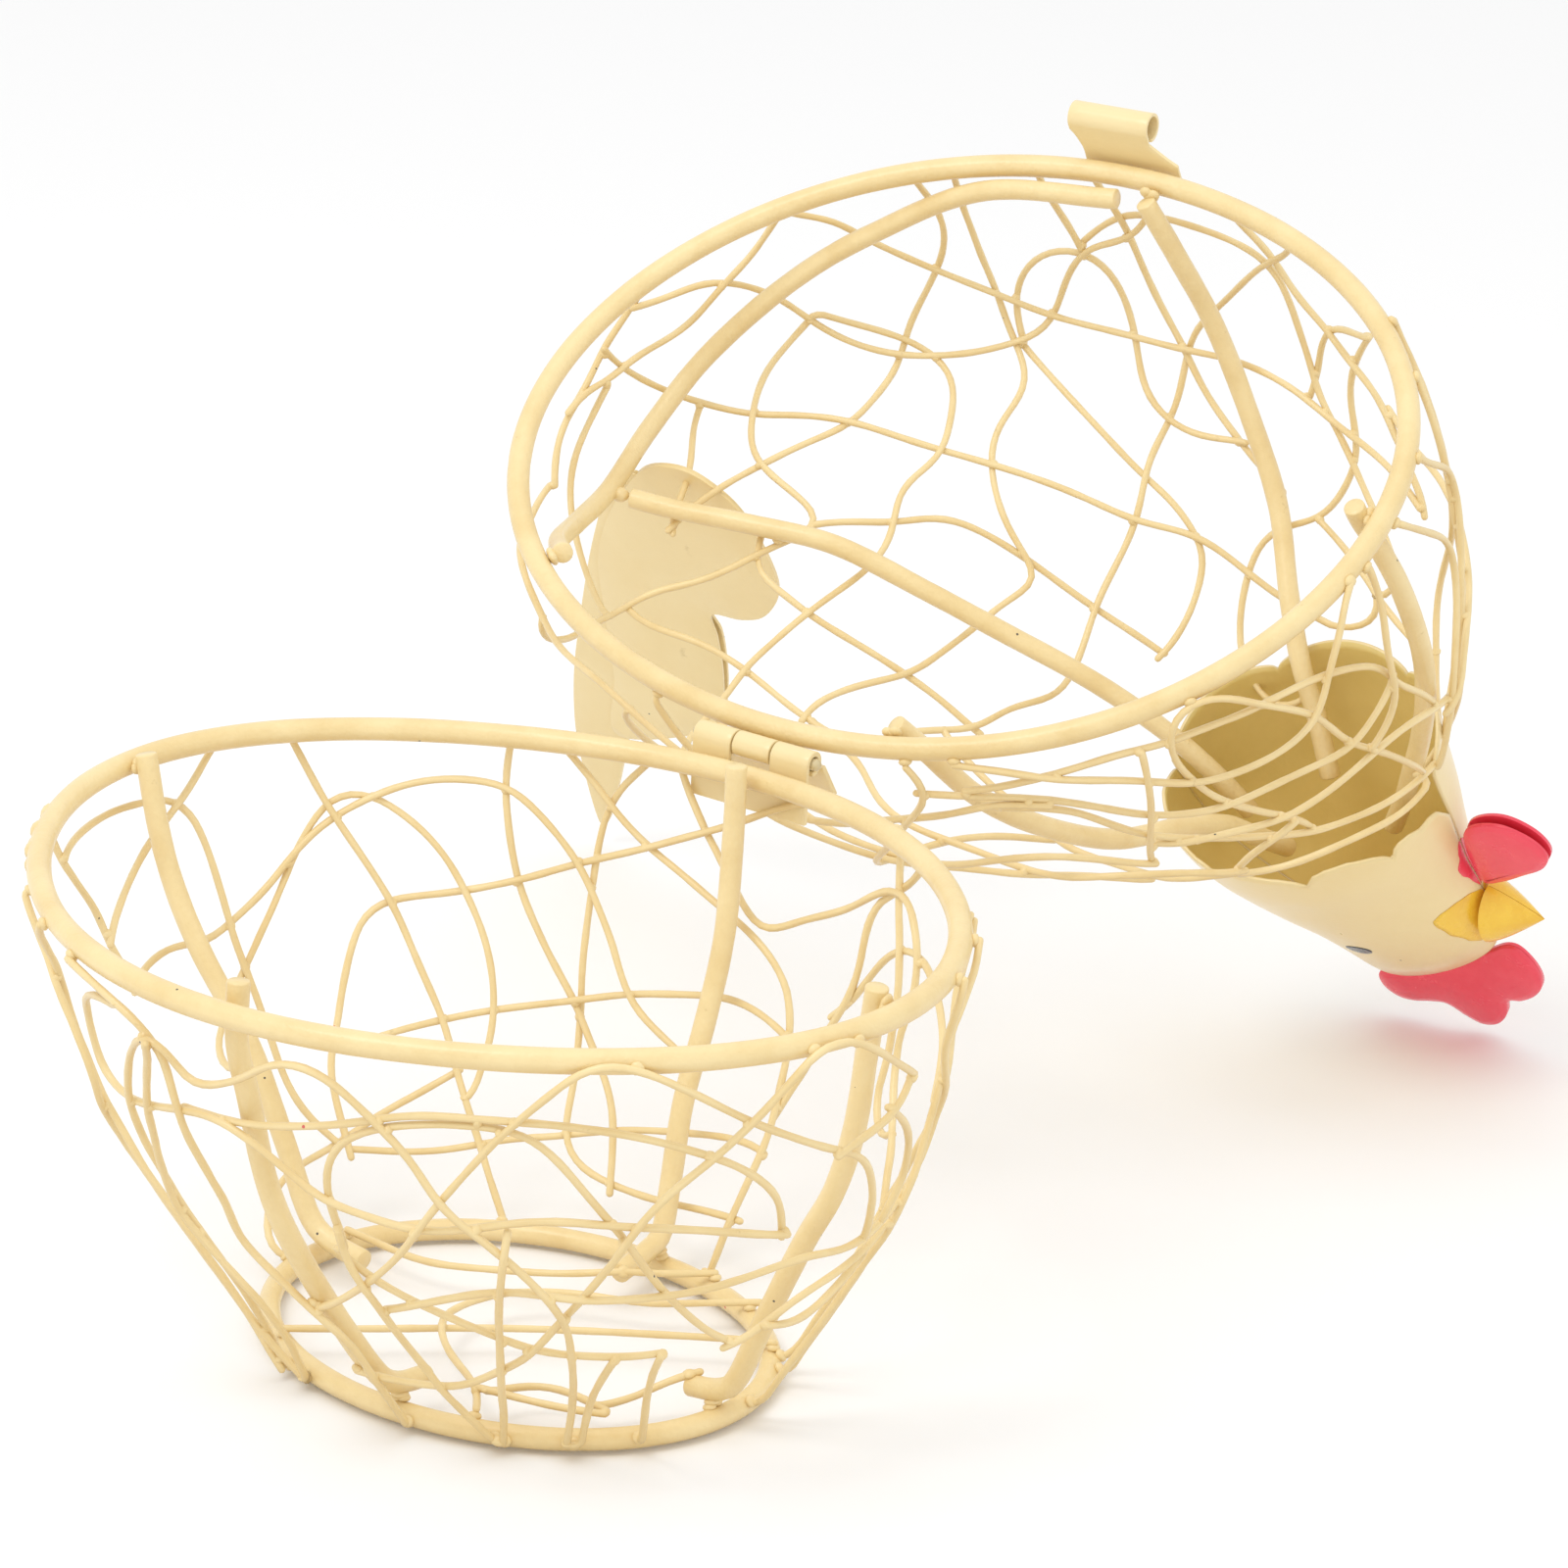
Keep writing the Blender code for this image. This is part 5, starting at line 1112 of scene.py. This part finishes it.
# outlines of paint: share down its height, share up the head, way round
BEAK_EDGE = [(0.0, 0.600, 0.0), (0.10, 0.552, 0.075), (0.22, 0.535, 0.150), (0.36, 0.535, 0.222),
             (0.44, 0.548, 0.246), (0.52, 0.590, 0.253), (0.66, 0.665, 0.243),
             (0.80, 0.740, 0.212), (0.90, 0.800, 0.150), (1.0, 0.870, 0.0)]
THROAT_EDGE = [(0.0, 0.330, 0.0), (0.15, 0.350, 0.022), (0.35, 0.400, 0.040),
               (0.55, 0.450, 0.058), (0.75, 0.500, 0.046), (1.0, 0.585, 0.0)]
SIDES = ((1, "left"), (-1, "right"))


def head_point(up, way, side, push=0.0):
    """A point a share up the head and a share of the way round one side."""
    row, position = eased_row(HEAD, min(max(up, 0.0), 1.0))
    x_back, z_back, x_front, z_front, half, rise = row
    c, s = math.cos(math.pi * way), math.sin(math.pi * way)
    z = (z_back + z_front) / 2 + (z_front - z_back) / 2 * c + rise * s
    if position < 1:     # rounded lobes along the skirt's edge
        z -= (5.6 * abs(math.sin(3 * math.pi * way)) ** 0.6 - 0.6) * (1 - position)
    return np.array(((x_back + x_front) / 2 + ((x_front - x_back) / 2 + push) * c,
                     side * (SEAM + (half + push) * s), z))


def head_shell(side, tag):
    rows, columns = 48, 120
    ways = [j / columns for j in range(columns + 1)]
    low = np.interp(ways, *zip(*LEFT_EDGE)).tolist() if side > 0 else [0.0] * len(ways)
    shape = Shape()
    shape.add([head_point(foot + (1 - foot) * i / rows, way, side)
               for i in range(rows + 1) for foot, way in zip(low, ways)],
              [cell(i, j, columns + 1)[::side] for i in range(rows) for j in range(columns)])
    # the inner faces take the second material, whose darker colour is partly painted shade
    shape.piece("head_sheet_" + tag, "lid", [SHEET_COAT, NECK_INNER_TONE_AND_SHADE], "coated_sheet",
                ["head_shell_" + tag], smooth=50, recalc=False,
                modifiers=(solidify(SHEET * MM * 0.95, offset=-1.0, material_offset=1),))


def eye(side, tag):
    """A thin raised ellipse of paint on the head."""
    up, way, half_up, half_way = 0.612, 0.582, 0.028, 0.050
    rings, segments = 6, 40
    v = [head_point(up, way, side, PAINT_LIFT)]
    for r in range(1, rings + 1):
        for k in range(segments):
            a = 2 * math.pi * k / segments
            v.append(head_point(up + half_up * (r / rings) * math.cos(a),
                                way + half_way * (r / rings) * math.sin(a), side,
                                PAINT_LIFT * (1 if r < rings else 0.2)))
    faces = [(0, 1 + k, 1 + (k + 1) % segments) for k in range(segments)]
    for r in range(rings - 1):
        for k in range(segments):
            a, b = 1 + r * segments + k, 1 + r * segments + (k + 1) % segments
            faces.append((a, a + segments, b + segments, b))
    shape = Shape()
    shape.add(v, faces)
    shape.piece("eye_" + tag, "lid", [EYE], "coated_sheet", modifiers=(solidify(PAINT_T),))


def edge_paint(name, side, outline, material, slot):
    """Paint that runs back over the shell from the front seam to the outline."""
    rows, columns = 44, 14
    shares, ups, ways = zip(*outline)
    v = []
    for i in range(rows + 1):
        t = i / rows
        wobble = (0.006 * math.sin(13 * t + side) + 0.004 * math.sin(31 * t)) \
            * math.sin(math.pi * t)
        reach = max(0.0, float(np.interp(t, shares, ways)) + wobble)
        for j in range(columns + 1):
            q = j / columns
            up = ((1 - q) * (ups[0] + (ups[-1] - ups[0]) * t)
                  + q * float(np.interp(t, shares, ups)))
            v.append(head_point(up, 0.001 + q * reach, side, PAINT_LIFT))
    shape = Shape()
    shape.add_used(v, [cell(i, j, columns + 1) for i in range(1, rows - 1)
                       for j in range(columns)])
    shape.piece(name, "lid", [material], slot, modifiers=(solidify(PAINT_T),))


for side, tag in SIDES:
    head_shell(side, tag)
for side, tag in SIDES:
    eye(side, tag)
for side, tag in SIDES:
    edge_paint("beak_paint_" + tag, side, BEAK_EDGE, YELLOW, "yellow_enamel")
    edge_paint("wattle_paint_" + tag, side, THROAT_EDGE, RED, "red_enamel")

# ------------------------------------------------------------------ comb, wattle, beak
# outlines: x, z
COMB = [(69.5, 272), (69, 277), (72, 280.5), (76, 281), (81, 279.5), (85, 279), (89, 282),
        (93, 284), (97, 282.5), (100, 278), (101.5, 272), (105, 270.5), (109, 267),
        (111.5, 262), (111, 256), (108, 250.5), (104.5, 250), (99.2, 254.2), (92, 260.8),
        (84, 266), (76.6, 269.8)]
WATTLE = [(104, 225.3), (108.8, 223.2), (114.5, 218.8), (120, 214.2), (122, 209),
          (119.2, 203.9), (113, 201), (107, 202.3), (102.8, 206.2), (101.9, 212.5),
          (102.4, 219.5)]


def outline_face(bm, outline, step):
    points = spline(outline, step, closed=True)[:-1]
    return bm.faces.new([bm.verts.new((x, z, 0)) for x, z in points])


def stamped(part, tag, outline, y_of, bulge, side):
    """A stamped red shape with rounded edges and a soft crown on its outer side."""
    thick = 1.0
    name = part + "_sheet_" + tag
    bm = bmesh.new()
    face = outline_face(bm, outline, 0.9)
    bm.normal_update()
    if face.normal.z < 0:
        face.normal_flip()
    copy = bmesh.ops.duplicate(bm, geom=[face] + list(face.edges) + list(face.verts))
    back = [g for g in copy["geom"] if isinstance(g, bmesh.types.BMFace)][0]
    for v in back.verts:
        v.co.z = -thick / 2
    for v in face.verts:
        v.co.z = thick / 2 - 0.2
    back.normal_flip()
    under = {(round(v.co.x, 5), round(v.co.y, 5)): v for v in back.verts}
    pairs = [(v, under[(round(v.co.x, 5), round(v.co.y, 5))]) for v in face.verts]
    for (a, a_under), (b, b_under) in zip(pairs, pairs[1:] + pairs[:1]):
        bm.faces.new((a, a_under, b_under, b))
    for inset, depth in ((0.25, 0.17), (0.4, 0.10), (0.6, bulge * 0.45), (0.6, bulge * 0.30)):
        bmesh.ops.inset_region(bm, faces=[face], thickness=inset, depth=depth,
                               use_even_offset=False)
    bmesh.ops.triangulate(bm, faces=[f for f in bm.faces if len(f.verts) > 4])
    for v in bm.verts:
        x, z, out = v.co
        v.co = place((x, y_of(z) + side * out, z), "lid")
    bmesh.ops.recalc_face_normals(bm, faces=bm.faces)
    mesh = bpy.data.meshes.new(name)
    bm.to_mesh(mesh)
    bm.free()
    mesh.materials.append(RED)
    mesh.shade_smooth()
    mesh.set_sharp_from_angle(angle=math.radians(65))
    add_object(name, mesh, "lid", [part + "_" + tag])


def beak_half(side, tag):
    rings, segments = 14, 16
    root, tip = 104.0, 116.3        # x of the ends
    v = []
    for i in range(rings + 1):
        u = i / rings
        r = 1 - u ** 1.25
        for k in range(segments + 1):
            a = math.pi * k / segments
            v.append((root - 0.8 * math.sin(a) * (1 - u) + (tip - root) * u,
                      side * (0.06 + 7.05 * r * math.sin(a)),
                      236.4 + 8.8 * r * math.cos(a) - 0.5 * u))
    w = segments + 1
    faces = []
    for i in range(rings):
        faces += [cell(i, k, w) for k in range(segments)]
        faces.append((i * w, (i + 1) * w, (i + 1) * w + segments, i * w + segments))
    faces.append(tuple(range(w)))
    faces.append(tuple(rings * w + k for k in range(w))[::-1])
    shape = Shape()
    shape.add(v, faces)
    shape.piece("beak_half_" + tag, "lid", [YELLOW], "yellow_enamel", ["beak_" + tag])


for side, tag in SIDES:
    stamped("comb", tag, COMB, lambda z: side * 0.55, 0.5, side)
    # the two wattles spread apart downwards
    stamped("wattle", tag, WATTLE, lambda z: side * (0.62 + max(0.0, 226 - z) * 0.035), 0.55, side)
    beak_half(side, tag)

# -------------------------------------------------------------------------- tail sheets
# outlines: x, z
TAIL_LEAF = [(-99, 150), (-108, 160), (-113, 170), (-119, 184), (-127, 205), (-134, 225),
             (-139, 245), (-141, 262), (-141.5, 280), (-138.5, 279), (-133, 267), (-126, 250),
             (-119, 232), (-112, 205), (-105, 175), (-96, 155)]
FAN_LEFT = [(-98, 151), (-91.5, 145.3), (-82.5, 144.2), (-75, 148.5), (-69.5, 156), (-66, 170),
            (-66.3, 180), (-72, 188.5), (-79, 191.5), (-87, 192), (-87.5, 200), (-89, 212),
            (-92, 224), (-97, 234), (-126, 244), (-121.5, 222), (-118, 199), (-115, 181),
            (-108, 165)]
# the right fan's lower part is set back and up
FAN_RIGHT = [(x - 1.6, z + 2.2) if z < 200 else (x, z) for x, z in FAN_LEFT]


def tail_sheet(part, tag, outline, y_offset):
    name = part + "_sheet_" + tag
    bm = bmesh.new()
    outline_face(bm, outline, 1.6)
    bmesh.ops.triangulate(bm, faces=bm.faces[:])
    bmesh.ops.subdivide_edges(bm, edges=[e for e in bm.edges if e.calc_length() > 6], cuts=2)
    bmesh.ops.triangulate(bm, faces=bm.faces[:])
    for v in bm.verts:
        x, z = v.co.x, v.co.y
        v.co = place((x, -8.0 + (z - 150.0) * 0.1 + y_offset, z), "lid")
    bm.normal_update()
    mesh = bpy.data.meshes.new(name)
    bm.to_mesh(mesh)
    bm.free()
    mesh.materials.append(SHEET_COAT)
    mesh.shade_smooth()
    thickness = dict(thickness=SHEET * MM * 0.95, offset=0.0)
    add_object(name, mesh, "lid", [part + "_" + tag],
               (("sheet", "SOLIDIFY", thickness), bevel(0.0002, name="edge")))


tail_sheet("tail_fan", "left", FAN_LEFT, 1.2)
tail_sheet("tail_leaf", "left", TAIL_LEAF, 0.4)
tail_sheet("tail_leaf", "right", TAIL_LEAF, -0.4)
tail_sheet("tail_fan", "right", FAN_RIGHT, -1.2)

# -------------------------------------------------------------------------------- stage
scene = bpy.context.scene
scene.view_settings.view_transform = "Standard"


def floor():
    m = bpy.data.materials.new("floor_white")
    m.use_nodes = True
    shader = m.node_tree.nodes["Principled BSDF"]
    shader.inputs["Base Color"].default_value = (0.95, 0.95, 0.95, 1)
    shader.inputs["Roughness"].default_value = 0.9
    shader.inputs["Specular IOR Level"].default_value = 0.1
    mesh = bpy.data.meshes.new("floor")
    bm = bmesh.new()
    bmesh.ops.create_grid(bm, x_segments=1, y_segments=1, size=12.0)
    bm.to_mesh(mesh)
    bm.free()
    ob = bpy.data.objects.new("floor", mesh)
    mesh.materials.append(m)
    scene.collection.objects.link(ob)
    ob.location.z = -0.0006


def studio_world():
    world = bpy.data.worlds.new("studio")
    scene.world = world
    world.use_nodes = True
    background = world.node_tree.nodes["Background"]
    background.inputs["Color"].default_value = (1, 1, 1, 1)
    background.inputs["Strength"].default_value = 0.93


floor()
studio_world()

# the camera's directions, from its azimuth, elevation and roll in radians
AZIMUTH, ELEVATION, ROLL = 0.6624029, 0.3603136, 0.0214612
DISTANCE, RIGHT_SHIFT, UP_SHIFT = 12.63609, 0.592142, 1.127740     # decimetres
DECIMETRE = 0.1
TARGET = Vector((SHIFT[0] * MM, SHIFT[1] * MM, 0.0023))
back = Vector((math.sin(AZIMUTH) * math.cos(ELEVATION),
               -math.cos(AZIMUTH) * math.cos(ELEVATION), math.sin(ELEVATION)))
level_right = Vector((0, 0, 1)).cross(back).normalized()
level_up = back.cross(level_right)
right = math.cos(ROLL) * level_right + math.sin(ROLL) * level_up
up = -math.sin(ROLL) * level_right + math.cos(ROLL) * level_up


def camera():
    place_at = (back * DISTANCE + right * RIGHT_SHIFT + up * UP_SHIFT) * DECIMETRE + TARGET
    data = bpy.data.cameras.new("camera")
    data.sensor_width = 36
    data.sensor_fit = "HORIZONTAL"
    data.lens = 142.179525
    data.clip_start = 0.05
    data.clip_end = 50
    ob = bpy.data.objects.new("camera", data)
    scene.collection.objects.link(ob)
    turn = Matrix((right, up, back)).transposed().to_4x4()
    ob.matrix_world = Matrix.Translation(place_at) @ turn
    scene.camera = ob


def area(name, location, target, size, power):
    light = bpy.data.lights.new(name, "AREA")
    light.shape = "DISK"
    light.size = size
    light.energy = power
    ob = bpy.data.objects.new(name, light)
    scene.collection.objects.link(ob)
    ob.location = location
    ob.rotation_mode = "QUATERNION"
    ob.rotation_quaternion = (target - location).to_track_quat("-Z", "Y")


camera()
middle = Vector((0.0, 0.0, 0.08))
area("key", middle + right * -0.55 + up * 0.9 + back * 0.9, middle, size=0.6, power=4.0)
area("fill", middle + right * 1.1 + up * 0.35 + back * 0.7, middle, size=1.0, power=0.6)
area("top", middle + Vector((0, 0, 1.3)), middle, size=1.2, power=1.6)

bpy.context.view_layer.update()
